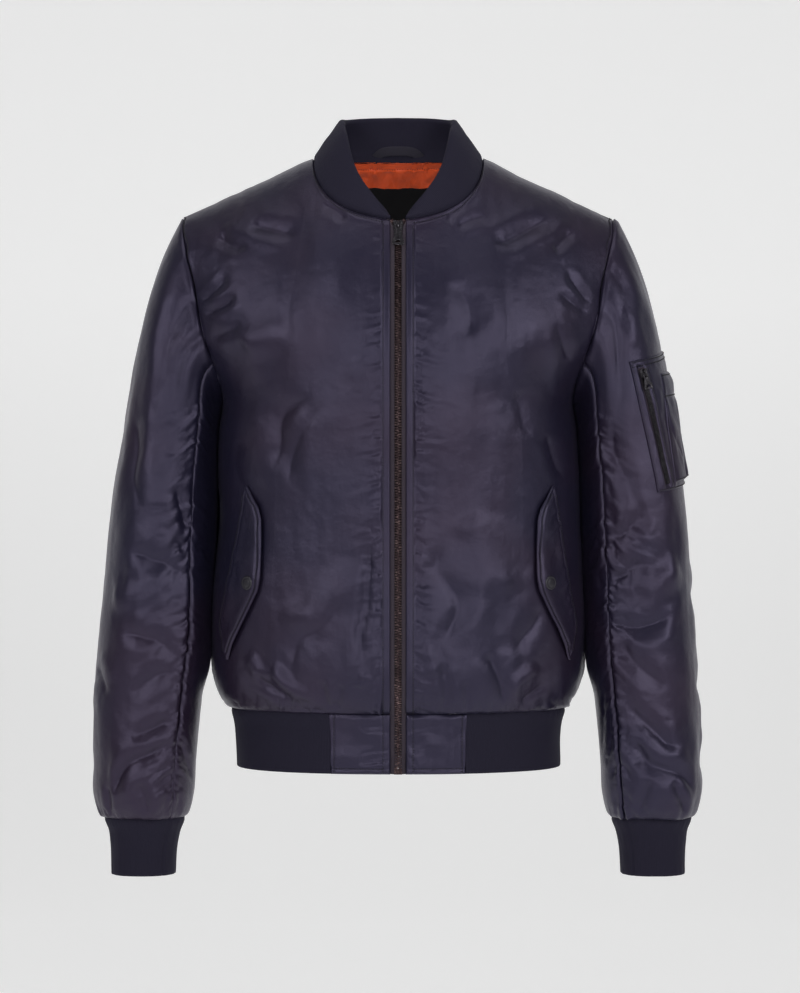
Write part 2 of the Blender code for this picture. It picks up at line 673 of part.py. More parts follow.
def build_flaps(body, shell_cloth, metal):
    front_outer, front_normals, _ = body["front"]
    heights = np.linspace(FLAP["height"][0], FLAP["height"][-1], 18)
    sewn = np.interp(heights, FLAP["height"], FLAP["sewn_x"])
    free = np.interp(heights, FLAP["height"], FLAP["free_x"])
    across = np.linspace(0.0, 1.0, 6)
    x = free[:, None] + (sewn - free)[:, None] * across
    level = heights[:, None] + 0.0 * x
    columns = np.vectorize(front_column)(x, level)
    outer, inner = overlay((front_outer, front_normals), columns, level,
                           OVERLAY_LIFT, OVERLAY_THICKNESS)
    shell("pocket_flap_left", outer, inner, shell_cloth)
    shell("pocket_flap_right", mirrored(outer), mirrored(inner), shell_cloth)

    column = front_column(SNAP_X, SNAP_HEIGHT)
    point, normal = on_grid(front_outer, front_normals, column, SNAP_HEIGHT)
    base = point + normal * (OVERLAY_LIFT + OVERLAY_THICKNESS + OVERLAY_LIFT * 0.6)
    for name, sign in (("snap_left", 1.0), ("snap_right", -1.0)):
        facing = Vector((normal[0] * sign, normal[1], normal[2]))
        place = facing.to_track_quat("Z", "Y").to_matrix().to_4x4()
        place.translation = Vector((base[0] * sign, base[1], base[2]))
        build = bmesh.new()
        bmesh.ops.create_cone(build, cap_ends=True, segments=20, radius1=SNAP_RADIUS,
                              radius2=SNAP_RADIUS * 0.82, depth=SNAP_THICKNESS)
        bmesh.ops.translate(build, verts=build.verts, vec=(0.0, 0.0, SNAP_THICKNESS / 2.0))
        mesh = bpy.data.meshes.new(name)
        build.to_mesh(mesh)
        build.free()
        add_object(name, mesh, metal, place)


def sleeve_column(angle):
    """Column of the top sleeve at a turn round it in degrees."""
    return angle / 360.0 * 2.0 * ROWS_OF_ARMHOLE + UNDER_SLEEVE_STEP


def pocket_grid(front, back, top, bottom, across, down):
    """Turns and heights of a slanted four-sided piece, given at its top and bottom edges."""
    u = np.linspace(0.0, 1.0, across + 1)[None, :]
    v = np.linspace(0.0, 1.0, down + 1)[:, None]
    start = front[0] + (front[1] - front[0]) * v
    end = back[0] + (back[1] - back[0]) * v
    angle = start + (end - start) * u
    upper = top[0] + (top[1] - top[0]) * u
    lower = bottom[0] + (bottom[1] - bottom[0]) * u
    height = upper + (lower - upper) * v
    return np.vectorize(sleeve_column)(angle), height


def build_sleeve_pocket(top_grid, top_normals, shell_cloth, zip_finish, tape_finish):
    base = (top_grid, top_normals)
    columns, height = pocket_grid(POCKET_FRONT_TURN, POCKET_BACK_TURN, POCKET_TOP,
                                  POCKET_BOTTOM, 11, 15)
    outer, inner = overlay(base, columns, height, SLEEVE_LIFT, POCKET_THICKNESS)
    shell("sleeve_pocket", outer, inner, shell_cloth)

    above = SLEEVE_LIFT + POCKET_THICKNESS + OVERLAY_LIFT * 0.7
    columns, height = pocket_grid((PEN_TOP[0], PEN_BOTTOM[0]), (PEN_BACK_TURN, PEN_BACK_TURN),
                                  (PEN_TOP[1], PEN_TOP[1] + 0.004),
                                  (PEN_BOTTOM[1], PEN_BOTTOM[1] + 0.008), 6, 13)
    swell = np.sin(math.pi * np.linspace(0.0, 1.0, 7))[None, :] * np.ones((14, 1))
    outer, inner = overlay(base, columns, height, above, POCKET_THICKNESS)
    lifted, _ = overlay(base, columns, height, above + PEN_BULGE * swell, POCKET_THICKNESS)
    shell("pen_pocket", lifted, inner, shell_cloth)

    along = np.linspace(0.0, 1.0, 13)
    angles = ARM_ZIP_TOP[0] + (ARM_ZIP_BOTTOM[0] - ARM_ZIP_TOP[0]) * along
    levels = ARM_ZIP_TOP[1] + (ARM_ZIP_BOTTOM[1] - ARM_ZIP_TOP[1]) * along
    line, facing = [], []
    for angle, level in zip(angles, levels):
        point, normal = on_grid(top_grid, top_normals, sleeve_column(angle), level)
        line.append(point + normal * above)
        facing.append(normal)
    line, facing = np.array(line), np.array(facing)
    across = unit(np.cross(np.gradient(line, axis=0), facing))
    strips = (("sleeve_zip_tape", tape_finish, -2.0, 2.0, 0.0, 0.0007),
              ("sleeve_zip_chain", zip_finish, -1.0, 1.0, 0.0010, 0.0018))
    for name, finish, start, end, low, thick in strips:
        edges = [line + across * ARM_ZIP_HALF * side for side in (start, end)]
        base_grid = np.stack(edges, axis=1)
        rise = facing[:, None, :]
        shell(name, base_grid + rise * (low + thick), base_grid + rise * low, finish)
    return line, facing


# ---------------------------------------------------------------- zips
def plate_mesh(outline, low, high):
    """A flat plate: an outline in the plane of the zip, from one height above it to another."""
    build = bmesh.new()
    face = build.faces.new([build.verts.new((x, y, low)) for x, y in outline])
    grown = bmesh.ops.extrude_face_region(build, geom=[face])
    verts = [item for item in grown["geom"] if isinstance(item, bmesh.types.BMVert)]
    bmesh.ops.translate(build, verts=verts, vec=(0.0, 0.0, high - low))
    bmesh.ops.recalc_face_normals(build, faces=build.faces)
    mesh = bpy.data.meshes.new("plate")
    build.to_mesh(mesh)
    build.free()
    return mesh


def rectangle(x, y, width, length):
    return [(x - width / 2, y - length / 2), (x + width / 2, y - length / 2),
            (x + width / 2, y + length / 2), (x - width / 2, y + length / 2)]


def combine(name, steps, finish, place):
    """One solid from plates: the first, joined with or cut by each of the others in turn."""
    made = add_object(name, steps[0][1], finish, place)
    tools = []
    for operation, mesh in steps[1:]:
        tool = bpy.data.objects.new("tool", mesh)
        bpy.context.scene.collection.objects.link(tool)
        tool.matrix_world = place
        change = made.modifiers.new("combine", "BOOLEAN")
        change.operation = operation
        change.solver = "EXACT"
        change.object = tool
        tools.append(tool)
    bpy.context.view_layer.update()
    solid = bpy.data.meshes.new_from_object(
        made.evaluated_get(bpy.context.evaluated_depsgraph_get()))
    made.modifiers.clear()
    made.data = solid
    for tool in tools:
        bpy.data.objects.remove(tool)
    return made


def zip_frame(point, along_up, facing):
    """Frame on a zip: X across it, Y up along it, Z out of the cloth."""
    up = Vector(along_up).normalized()
    out = Vector(facing)
    out = (out - up * out.dot(up)).normalized()
    across = up.cross(out)
    place = Matrix((across, up, out)).transposed().to_4x4()
    place.translation = Vector(point)
    return place


def build_slider(name, pull_name, place, chain_top, chain_thickness, size, finish):
    """A slider round a chain, whose front plate lies above chain_top, and its pull tab."""
    width, length, pull_length = size
    floor = chain_top + SEAM_GAP
    roof = floor + PLATE
    back = chain_top - chain_thickness - 0.0010
    nose = 0.0030
    body_outline = [(-width * 0.42, -length / 2), (width * 0.42, -length / 2),
                    (width / 2, length * 0.12), (width * 0.40, length / 2),
                    (-width * 0.40, length / 2), (-width / 2, length * 0.12)]
    bridge_low, bridge_high = roof + 0.0021, roof + 0.0032
    steps = [
        ("UNION", plate_mesh(body_outline, floor, roof)),
        ("UNION", plate_mesh(rectangle(0.0, -0.0034, 0.0026, 0.0012), roof - 0.0004, bridge_high)),
        ("UNION", plate_mesh(rectangle(0.0, 0.0034, 0.0026, 0.0012), roof - 0.0004, bridge_high)),
        ("UNION", plate_mesh(rectangle(0.0, 0.0, 0.0026, 0.0080), bridge_low, bridge_high)),
    ]
    if chain_thickness > STOUT_CHAIN:
        steps.append(("UNION", plate_mesh(body_outline, back - PLATE, back)))
        steps.append(("UNION", plate_mesh(
            rectangle(0.0, length / 2 - nose / 2, 0.0026, nose), back - 0.0004, floor + 0.0004)))
    combine(name, steps, finish, place)

    pivot = Vector((0.0, 0.0, roof + 0.0011))
    pull_place = place @ Matrix.Translation(pivot)
    half = PULL_THICKNESS / 2.0
    tab_outline = [(-0.0032, -0.0062), (-0.0040, -pull_length * 0.55),
                   (-0.0054, -pull_length + 0.0020), (-0.0044, -pull_length),
                   (0.0044, -pull_length), (0.0054, -pull_length + 0.0020),
                   (0.0040, -pull_length * 0.55), (0.0032, -0.0062),
                   (0.0032, half), (-0.0032, half)]
    combine(pull_name, [
        ("UNION", plate_mesh(tab_outline, -half, half)),
        ("DIFFERENCE", plate_mesh(rectangle(0.0, -half - 0.0023, 0.0040, 0.0046),
                                  -0.002, 0.002)),
    ], finish, pull_place)


def build_front_zip(body, tab_outer, tab_inner, zip_finish, tape_finish):
    """Tapes behind the fronts, the two halves of the chain, the slider, its tab and the box."""
    front_outer, front_normals, front_inner = body["front"]
    edge = np.concatenate([front_outer[::-1, 0], tab_outer[1:, 0]])
    inside = np.concatenate([front_inner[::-1, 0], tab_inner[1:, 0]])
    beside = np.concatenate([front_inner[::-1, 1], tab_inner[1:, 1]])
    slope = (beside - inside) / (beside - inside)[:, :1]
    outward = unit(edge - inside)
    outward[:, 0] = 0.0
    outward = unit(outward)

    def strip_at(x, depth):
        return inside + slope * (x - inside[:, :1]) - outward * depth

    tape = np.stack([strip_at(TAPE_NEAR, 2 * SEAM_GAP), strip_at(TAPE_FAR, 2 * SEAM_GAP)], axis=1)
    tape_in = np.stack([strip_at(TAPE_NEAR, 2 * SEAM_GAP + TAPE_THICKNESS),
                        strip_at(TAPE_FAR, 2 * SEAM_GAP + TAPE_THICKNESS)], axis=1)
    shell("zip_tape_left", tape, tape_in, tape_finish)
    shell("zip_tape_right", mirrored(tape), mirrored(tape_in), tape_finish)

    middle = edge * np.array([0.0, 1.0, 1.0]) - outward * CHAIN_FRONT
    top = middle[0] + (middle[1] - middle[0]) * ZIP_START
    line = np.concatenate([[top], middle[1:]])
    box_start = line[-1] + unit(line[-2] - line[-1]) * (ZIP_BOX_LENGTH + SEAM_GAP)
    line = np.concatenate([line[:-1], [box_start]])
    for name, sign in (("zip_chain_left", 1.0), ("zip_chain_right", -1.0)):
        near = np.array([SEAM_GAP / 2.0 * sign, 0.0, 0.0])
        far = np.array([CHAIN_HALF * sign, 0.0, 0.0])
        outer = np.stack([line + near, line + far], axis=1)
        shell(name, outer, outer - outward[:, None, :] * CHAIN_THICKNESS, zip_finish)

    up = middle[0] - middle[1]
    length = np.linalg.norm(up)
    slider_at = middle[0] + (middle[1] - middle[0]) * (FRONT_SLIDER_DROP / length)
    place = zip_frame(slider_at, up, outward[0])
    build_slider("zip_slider", "zip_pull_tab", place, 0.0, CHAIN_THICKNESS,
                 (SLIDER_WIDTH, SLIDER_LENGTH, PULL_LENGTH), zip_finish)

    up = middle[-2] - middle[-1]
    foot = zip_frame(middle[-1], up, outward[-1])
    box_outline = rectangle(0.0, ZIP_BOX_LENGTH / 2.0, 2.0 * CHAIN_HALF, ZIP_BOX_LENGTH)
    mesh = plate_mesh(box_outline, -CHAIN_THICKNESS, PLATE / 2.0)
    add_object("zip_box", mesh, zip_finish, foot)


def build_loop(collar_outer, collar_normals, black):
    """Hanger loop: a strip sewn in the neck seam, standing in a low arch inside the collar."""
    count = 7
    across = np.linspace(-1.0, 1.0, count)
    rows = []
    for lift in (0.0, 1.0):
        points = []
        for share in across:
            arch = 0.0065 * (1.0 - share * share)
            height = 0.0075 + arch + LOOP_WIDTH * lift
            at = collar_outer.shape[1] - 1 - abs(share) * 1.6
            point, normal = on_grid(collar_outer, collar_normals, at, height)
            inward = point - normal * (WALL + 2.2 * SEAM_GAP)
            inward[0] = share * LOOP_HALF_LENGTH
            points.append(inward)
        rows.append(points)
    far = np.array(rows)
    facing = np.array([0.0, -1.0, 0.0])
    shell("hanger_loop", far + facing * 0.0012, far, black)


# ---------------------------------------------------------------- the jacket
def build():
    for item in list(bpy.data.objects):
        bpy.data.objects.remove(item)
    shell_cloth = material("satin_nylon", FABRIC, 0.42)
    rib = material("rib_knit", RIB, 0.75)
    orange = material("orange_lining", ORANGE, 0.45)
    black = material("dark_lining", BLACK, 0.6)
    zip_finish = material("dark_zip_metal", ZIP_METAL, 0.4, 0.9)
    tape_finish = material("zip_tape", RIB, 0.7)

    body = build_body(shell_cloth)
    top_grid, top_normals, sleeve_outer, sleeve_inner = build_sleeves(
        *body["sleeve"], shell_cloth)
    build_cuffs(sleeve_outer, sleeve_inner, rib)
    tab_outer, tab_inner = build_hem(body, rib, shell_cloth)
    collar_outer, _, collar_normals = build_collar(body, rib)
    build_linings(body, orange, black)
    build_loop(collar_outer, collar_normals, black)
    build_flaps(body, shell_cloth, zip_finish)
    build_front_zip(body, tab_outer, tab_inner, zip_finish, tape_finish)
    line, facing = build_sleeve_pocket(top_grid, top_normals, shell_cloth, zip_finish,
                                       tape_finish)
    place = zip_frame(line[0], line[0] - line[2], facing[0])
    slide = Matrix.Translation((0.0, -0.0045, 0.0))
    build_slider("sleeve_zip_slider", "sleeve_pull_tab", place @ slide, 0.0029, 0.0018,
                 (0.0076, 0.0100, 0.0150), zip_finish)


build()
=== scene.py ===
"""Looks of the bomber jacket: satin nylon shell with its folds, rib knit, zips and lining.

The body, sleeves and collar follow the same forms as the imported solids, on a fine grid. Folds
move a grid's points along its normals, and everything sewn on is laid on the folded cloth.
"""
import json
import math

import bmesh
import bpy
import numpy as np
from mathutils import Matrix, Vector
from mathutils.bvhtree import BVHTree


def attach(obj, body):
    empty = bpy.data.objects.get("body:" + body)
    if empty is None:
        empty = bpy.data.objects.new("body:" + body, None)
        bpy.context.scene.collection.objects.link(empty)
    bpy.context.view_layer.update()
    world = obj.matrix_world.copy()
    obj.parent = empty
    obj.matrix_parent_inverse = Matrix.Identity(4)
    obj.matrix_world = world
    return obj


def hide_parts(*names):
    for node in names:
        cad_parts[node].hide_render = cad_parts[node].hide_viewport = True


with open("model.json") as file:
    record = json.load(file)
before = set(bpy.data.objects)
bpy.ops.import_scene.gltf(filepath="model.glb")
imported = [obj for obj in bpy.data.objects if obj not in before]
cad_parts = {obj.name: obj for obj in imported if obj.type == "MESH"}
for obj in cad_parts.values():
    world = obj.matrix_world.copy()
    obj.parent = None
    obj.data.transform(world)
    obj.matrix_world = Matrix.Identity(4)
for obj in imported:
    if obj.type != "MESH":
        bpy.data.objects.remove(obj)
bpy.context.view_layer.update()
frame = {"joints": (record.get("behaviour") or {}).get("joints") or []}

BODY = "jacket"
SIDE_WORDS = {1: "left", -1: "right"}     # the wearer's sides, by the sign of X

# ---------------------------------------------------------------- form, as in the solids
SHELL_THICKNESS = 0.0024
INSIDE_DEPTH = SHELL_THICKNESS + 0.0014     # of the inside sheet, below the outer face
INSIDE_STEP = 3           # rows and columns of the outer cloth to one of the inside sheet
HEM_SEAM = -0.585
ARMPIT = -0.255
SHOULDER_TIP = -0.0645
ARMHOLE_MIDDLE = (SHOULDER_TIP + ARMPIT) / 2.0
ARMHOLE_REACH = (SHOULDER_TIP - ARMPIT) / 2.0
SHOULDER_TIP_X = 0.229
SHOULDER_SLOPE = 0.46
NECK_HALF_WIDTH = 0.0905
NECK_FRONT_DROP = 0.0715
NECK_BACK_RISE = 0.004
NECK_ROUNDNESS = 2.2
NECK_SHARE = 3.0 / 7.0    # share of a panel's width whose columns end at the neckline
FRONT_EDGE = 0.0080
SECTION_ROUNDNESS = 2.3
FRONT_RIDGE_DEPTH = 0.24
BACK_RIDGE_DEPTH = 0.16
FAN_DROP = 0.22
UNDER_TURN = 2.0 * math.pi * 5.0 / 14.0
COLLAR_ROLL = 0.005
TAB_EDGE_SHARE = 3.0 / 14.0

BODY_TABLE = (
    ("height", "half_width", "front_depth", "back_depth"),
    (-0.585, 0.1785, 0.128, 0.118),
    (-0.572, 0.1890, 0.137, 0.126),
    (-0.556, 0.1945, 0.142, 0.131),
    (-0.514, 0.1965, 0.144, 0.132),
    (-0.465, 0.1965, 0.143, 0.130),
    (-0.428, 0.1945, 0.142, 0.128),
    (-0.385, 0.1915, 0.142, 0.127),
    (-0.332, 0.1910, 0.144, 0.130),
    (-0.290, 0.1890, 0.147, 0.136),
    (-0.255, 0.1860, 0.148, 0.141),
    (-0.230, 0.1975, 0.148, 0.143),
    (-0.199, 0.2236, 0.147, 0.144),
    (-0.139, 0.2490, 0.142, 0.143),
    (-0.102, 0.2720, 0.137, 0.139),
    (-0.0645, 0.2900, 0.132, 0.134),
    (0.030, 0.3000, 0.125, 0.125),
)
HEM_TABLE = (
    ("height", "half_width", "front_depth", "back_depth"),
    (-0.585, 0.1785, 0.128, 0.118),
    (-0.597, 0.1755, 0.1265, 0.1165),
    (-0.615, 0.1740, 0.1258, 0.1160),
    (-0.647, 0.1730, 0.1250, 0.1150),
)
ARMHOLE_TABLE = (
    ("height", "x"),
    (-0.255, 0.1860),
    (-0.2425, 0.1865),
    (-0.220, 0.1925),
    (-0.199, 0.2005),
    (-0.169, 0.2085),
    (-0.139, 0.2135),
    (-0.102, 0.2225),
    (-0.081, 0.2275),
    (-0.0645, 0.2290),
)
SLEEVE_TABLE = (
    ("height", "outer_x", "inner_x", "centre_y", "half_depth"),
    (-0.300, 0.2965, 0.1945, 0.004, 0.078),
    (-0.342, 0.3035, 0.1965, 0.002, 0.077),
    (-0.385, 0.3080, 0.1975, -0.001, 0.074),
    (-0.428, 0.3120, 0.1995, -0.004, 0.0715),
    (-0.471, 0.3155, 0.2005, -0.007, 0.069),
    (-0.514, 0.3190, 0.2020, -0.010, 0.0665),
    (-0.556, 0.3220, 0.2075, -0.012, 0.064),
    (-0.599, 0.3240, 0.2120, -0.014, 0.0615),
    (-0.642, 0.3240, 0.2155, -0.016, 0.0595),
    (-0.678, 0.3235, 0.2180, -0.017, 0.056),
    (-0.692, 0.3190, 0.2215, -0.0175, 0.050),
    (-0.701, 0.3130, 0.2265, -0.018, 0.041),
)
CUFF_TABLE = (
    ("height", "outer_x", "inner_x", "centre_y", "half_depth"),
    (-0.701, 0.3130, 0.2265, -0.018, 0.041),
    (-0.711, 0.3085, 0.2305, -0.018, 0.037),
    (-0.728, 0.3060, 0.2345, -0.018, 0.0345),
    (-0.761, 0.3050, 0.2370, -0.018, 0.034),
)
COLLAR_TABLE = (
    ("share", "x", "y", "height"),
    (0.00, 0.0085, -0.1040, -0.0680),
    (0.15, 0.0310, -0.0985, -0.0420),
    (0.30, 0.0480, -0.0800, -0.0128),
    (0.42, 0.0571, -0.0460, 0.0245),
    (0.52, 0.0615, -0.0100, 0.0400),
    (0.70, 0.0560, 0.0300, 0.0460),
    (0.85, 0.0330, 0.0480, 0.0490),
    (1.00, 0.0000, 0.0530, 0.0500),
)
FLAP_TABLE = (
    ("height", "sewn_x", "free_x"),
    (-0.5310, 0.1785, 0.1765),
    (-0.4960, 0.1845, 0.1610),
    (-0.4575, 0.1785, 0.1425),
    (-0.4450, 0.1765, 0.1405),
    (-0.4115, 0.1708, 0.1405),
    (-0.3835, 0.1665, 0.1410),
    (-0.3700, 0.1640, 0.1445),
    (-0.3490, 0.1610, 0.1590),
)

# ---------------------------------------------------------------- folds listed one by one
# Each row is a crease from one place to another, in millimetres on its piece: across and up.
# A positive depth is a trough with lifted sides, a negative one a ridge; bow bends it sideways.
FOLD_COLUMNS = ("from_x", "from_z", "to_x", "to_z", "width", "depth", "bow")
FRONT_FOLDS_LEFT = (
    (48, -70, 74, -56, 6, 2.2, 3),
    (62, -82, 92, -64, 6, 1.8, 3),
    (100, -104, 162, -64, 9, 3.6, 3),
    (160, -100, 190, -84, 7, 2.6, 2),
    (204, -158, 176, -120, 5, 2.4, 2),
    (200, -168, 164, -146, 5, 2, 2),
    (64, -135, 72, -200, 13, 2.4, 4),
    (185, -215, 160, -180, 7, 2.2, 3),
    (120, -250, 142, -300, 13, 3, 4),
    (150, -296, 176, -345, 7, 3, 3),
    (30, -405, 56, -525, 13, 4, 8),
    (66, -375, 112, -470, 17, -3, 8),
    (90, -520, 112, -576, 8, 3.4, 4),
    (114, -566, 150, -536, 7, -3, 3),
    (126, -574, 160, -556, 5, 2.2, 2),
    (26, -512, 40, -548, 6, -2.2, 1),
    (46, -530, 50, -580, 5, 2.4, 1),
    (70, -548, 68, -582, 5, 2.4, 0),
    (150, -470, 110, -520, 11, 2.4, 6),
)
FRONT_FOLDS_RIGHT = (
    (52, -72, 80, -56, 6, 1.6, 3),
    (152, -68, 108, -92, 9, 3.6, 3),
    (190, -84, 158, -106, 8, 3.2, 3),
    (204, -158, 178, -126, 5, 2.6, 2),
    (202, -172, 166, -150, 5, 2.2, 2),
    (196, -192, 160, -180, 6, 2.2, 2),
    (162, -210, 112, -180, 13, -2.6, 4),
    (94, -250, 136, -336, 15, 4, 10),
    (78, -262, 118, -352, 8, 2.2, 8),
    (27, -400, 37, -545, 6, 3.8, 4),
    (34, -430, 110, -505, 16, -2.8, 8),
    (46, -470, 120, -545, 13, 2.6, 8),
    (134, -536, 84, -568, 7, -3.2, 4),
    (156, -522, 130, -558, 6, -2.4, 3),
    (150, -544, 108, -574, 6, 3, 3),
    (44, -556, 34, -538, 5, -2.2, 1),
    (80, -548, 74, -582, 5, 2.8, 0),
    (60, -552, 62, -582, 5, 2.2, 0),
    (168, -300, 160, -360, 12, 2.4, 4),
)
BACK_FOLDS = (
    (-60, -100, -150, -150, 10, 3.2, 6),
    (70, -105, 155, -160, 10, 3.2, -6),
    (-195, -170, -150, -135, 6, 2.6, 3),
    (195, -175, 150, -140, 6, 2.6, -3),
    (-150, -300, -60, -380, 14, 3.4, 10),
    (160, -320, 70, -400, 13, 3.2, -10),
    (-120, -420, -20, -490, 13, 3.4, 8),
    (20, -440, 130, -520, 13, 3.4, 8),
    (-160, -540, -110, -574, 7, 3.4, 3),
    (165, -535, 120, -572, 7, 3.4, -3),
    (-40, -520, -50, -580, 6, 3, 0),
    (50, -525, 58, -580, 6, 3, 0),
    (-90, -545, -85, -582, 5, 2.6, 0),
    (10, -550, 4, -582, 5, 2.4, 0),
    (95, -548, 90, -582, 5, 2.6, 0),
)
# On a sleeve, across is the way round it from its outermost line towards the front.
SLEEVE_FOLDS_LEFT = (
    (70, -105, 88, -200, 10, 2.8, 4),
    (122, -112, 142, -216, 8, 3.4, 4),
    (96, -150, 120, -279, 10, 3.6, 6),
    (134, -279, 104, -385, 10, 3.4, 6),
    (140, -406, 100, -366, 8, 3.6, 4),
    (143, -448, 108, -420, 8, 3.8, 4),
    (118, -458, 58, -425, 11, -3.6, 6),
    (142, -498, 76, -474, 10, 4.4, 6),
    (142, -514, 86, -562, 9, 5, 6),
    (142, -574, 70, -620, 9, 5.4, 8),
    (138, -614, 42, -666, 9, 5.8, 10),
    (86, -654, 60, -694, 6, 4.8, 3),
    (110, -655, 130, -694, 6, 3, 2),
    (170, -560, 200, -640, 9, 2.4, 4),
    (20, -480, -60, -440, 13, 3.4, 8),
    (30, -560, -80, -530, 13, 3.8, 10),
    (20, -640, -90, -600, 11, 4.2, 10),
    (-142, -500, -80, -540, 10, 4, 6),
    (-142, -580, -80, -610, 10, 4, 6),
    (-142, -400, -90, -440, 10, 3.4, 6),
    (-120, -140, -100, -260, 11, 3, 6),
)
SLEEVE_FOLDS_RIGHT = (
    (132, -150, 106, -279, 9, 3.4, 6),
    (100, -130, 86, -290, 12, 3.2, 6),
    (50, -270, 80, -385, 12, 3, 6),
    (120, -352, 150, -396, 7, 3.8, 3),
    (76, -420, 140, -447, 9, 5, 5),
    (48, -470, 128, -458, 12, -3.2, 5),
    (74, -506, 142, -526, 9, 4.6, 5),
    (92, -568, 142, -545, 8, 4.2, 4),
    (98, -618, 143, -590, 8, 4.4, 5),
    (70, -674, 146, -616, 8, 6, 8),
    (100, -660, 110, -696, 6, 3.4, 2),
    (60, -664, 56, -696, 6, 3.4, 2),
    (152, -612, 200, -668, 8, 3.2, 4),
    (20, -540, 60, -570, 10, 3.4, 4),
    (0, -420, -70, -460, 13, 3.4, 8),
    (20, -600, -80, -570, 13, 4, 10),
    (10, -655, -90, -640, 11, 4.2, 8),
    (-142, -480, -80, -510, 10, 4, 6),
    (-142, -560, -80, -600, 10, 4, 6),
    (-142, -380, -90, -410, 10, 3.4, 6),
    (-110, -130, -100, -250, 11, 3, 6),
)
SLEEVE_ROUND = 0.068     # radius that turns the angle round a sleeve into a length

STITCH_PITCH = 0.0028
STITCH_LENGTH = 0.0014
STITCH_RADIUS = 0.00062
STITCH_SINK = 0.0001
SPINDLE_SIDES = 5


# ---------------------------------------------------------------- small maths
def table(rows):
    ordered = np.array(sorted(rows[1:]))
    return {name: ordered[:, index] for index, name in enumerate(rows[0])}


BODY_FORM = table(BODY_TABLE)
HEM_FORM = table(HEM_TABLE)
ARMHOLE_FORM = table(ARMHOLE_TABLE)
SLEEVE_FORM = table(SLEEVE_TABLE)
CUFF_FORM = table(CUFF_TABLE)
COLLAR_FORM = table(COLLAR_TABLE)
FLAP_FORM = table(FLAP_TABLE)


def read(source, name, at):
    """A smooth curve through one column of a table, against the table's first column."""
    knots = next(iter(source.values()))
    values = source[name]
    at = np.clip(np.asarray(at, float), knots[0], knots[-1])
    slopes = np.gradient(values, knots)
    index = np.clip(np.searchsorted(knots, at) - 1, 0, len(knots) - 2)
    span = knots[index + 1] - knots[index]
    t = (at - knots[index]) / span
    rise = t * t * (3.0 - 2.0 * t)
    start = t * (1.0 - t) ** 2 * span * slopes[index]
    end = t * t * (1.0 - t) * span * slopes[index + 1]
    return values[index] * (1.0 - rise) + values[index + 1] * rise + start - end


def ease(value):
    value = np.clip(value, 0.0, 1.0)
    return value * value * (3.0 - 2.0 * value)


def unit(vectors):
    return vectors / np.maximum(np.linalg.norm(vectors, axis=-1, keepdims=True), 1e-9)


def rounded(angle_part, roundness):
    return np.sign(angle_part) * np.abs(angle_part) ** (2.0 / roundness)


def run_lengths(grid, axis):
    """Length along the grid's rows (axis 1) or columns (axis 0), from the first point."""
    steps = np.linalg.norm(np.diff(grid, axis=axis), axis=-1)
    runs = np.cumsum(steps, axis=axis)
    pad = [(0, 0), (0, 0)]
    pad[axis] = (1, 0)
    return np.pad(runs, pad)


def path_run(path):
    """Length along a path of points, from its first point."""
    return np.concatenate([[0.0], np.cumsum(np.linalg.norm(np.diff(path, axis=0), axis=1))])


def read_path(stops, run, source):
    """Three coordinates at some stops, between the values they have along a run."""
    return np.stack([np.interp(stops, run, source[:, k]) for k in range(3)], axis=-1)


def grid_normals(grid, ring=False):
    if ring:
        padded = np.concatenate([grid[:, -2:-1], grid, grid[:, 1:2]], axis=1)
        along_rows = (padded[:, 2:] - padded[:, :-2]) / 2.0
    else:
        along_rows = np.gradient(grid, axis=1)
    return unit(np.cross(along_rows, np.gradient(grid, axis=0)))


class Waves:
    """Smooth seeded noise from -1 to 1 over two coordinates, with a cell of one unit."""

    def __init__(self, seed):
        self.lattice = np.random.default_rng(seed).random((64, 64)) * 2.0 - 1.0

    def __call__(self, u, v):
        u, v = np.broadcast_arrays(np.asarray(u, float), np.asarray(v, float))
        column, row = np.floor(u).astype(int), np.floor(v).astype(int)
        s, t = u - column, v - row
        s, t = s * s * (3 - 2 * s), t * t * (3 - 2 * t)

        def corner(i, j):
            return self.lattice[(column + i) % 64, (row + j) % 64]

        low = corner(0, 0) * (1 - s) + corner(1, 0) * s
        high = corner(0, 1) * (1 - s) + corner(1, 1) * s
        return low * (1 - t) + high * t


def creases(folds, across, up, waves, wider=1.0, strength=1.0):
    """Height of a piece's listed folds at places given across and up."""
    total = np.zeros_like(across)
    for index, row in enumerate(folds):
        fold = dict(zip(FOLD_COLUMNS, (round(0.001 * value, 6) for value in row)))
        fold["width"] *= wider
        start = np.array([fold["from_x"], fold["from_z"]])
        line = np.array([fold["to_x"], fold["to_z"]]) - start
        length = np.linalg.norm(line)
        line = line / length
        dx, dz = across - start[0], up - start[1]
        t = (dx * line[0] + dz * line[1]) / length
        bend = fold["bow"] * 4.0 * t * (1.0 - t)
        wander = fold["width"] * 0.7 * waves(t * length / 0.035 + 9.0 * index, 3.7 * index)
        off = np.abs(dx * line[1] - dz * line[0] + bend + wander) / fold["width"]
        swell = 1.0 + 0.35 * waves(t * length / 0.05, 5.1 * index + 0.5)
        crisp = np.exp(-1.9 * (np.sqrt(off ** 2 + 0.02) - 0.14))
        core = crisp if fold["depth"] > 0.0 else np.exp(-off ** 2)
        trough = core - 0.3 * np.exp(-((off - 1.7) / 0.8) ** 2)
        window = ease(t / 0.22) * ease((1.0 - t) / 0.3)
        total -= strength * fold["depth"] * swell * trough * window
    return total


# ---------------------------------------------------------------- form of the body
def ridge(x):
    x = np.abs(x)
    arch = SHOULDER_SLOPE / (2.0 * NECK_HALF_WIDTH)
    inside = arch * (NECK_HALF_WIDTH ** 2 - x ** 2)
    outside = -SHOULDER_SLOPE * (x - NECK_HALF_WIDTH)
    return np.where(x < NECK_HALF_WIDTH, inside, outside)


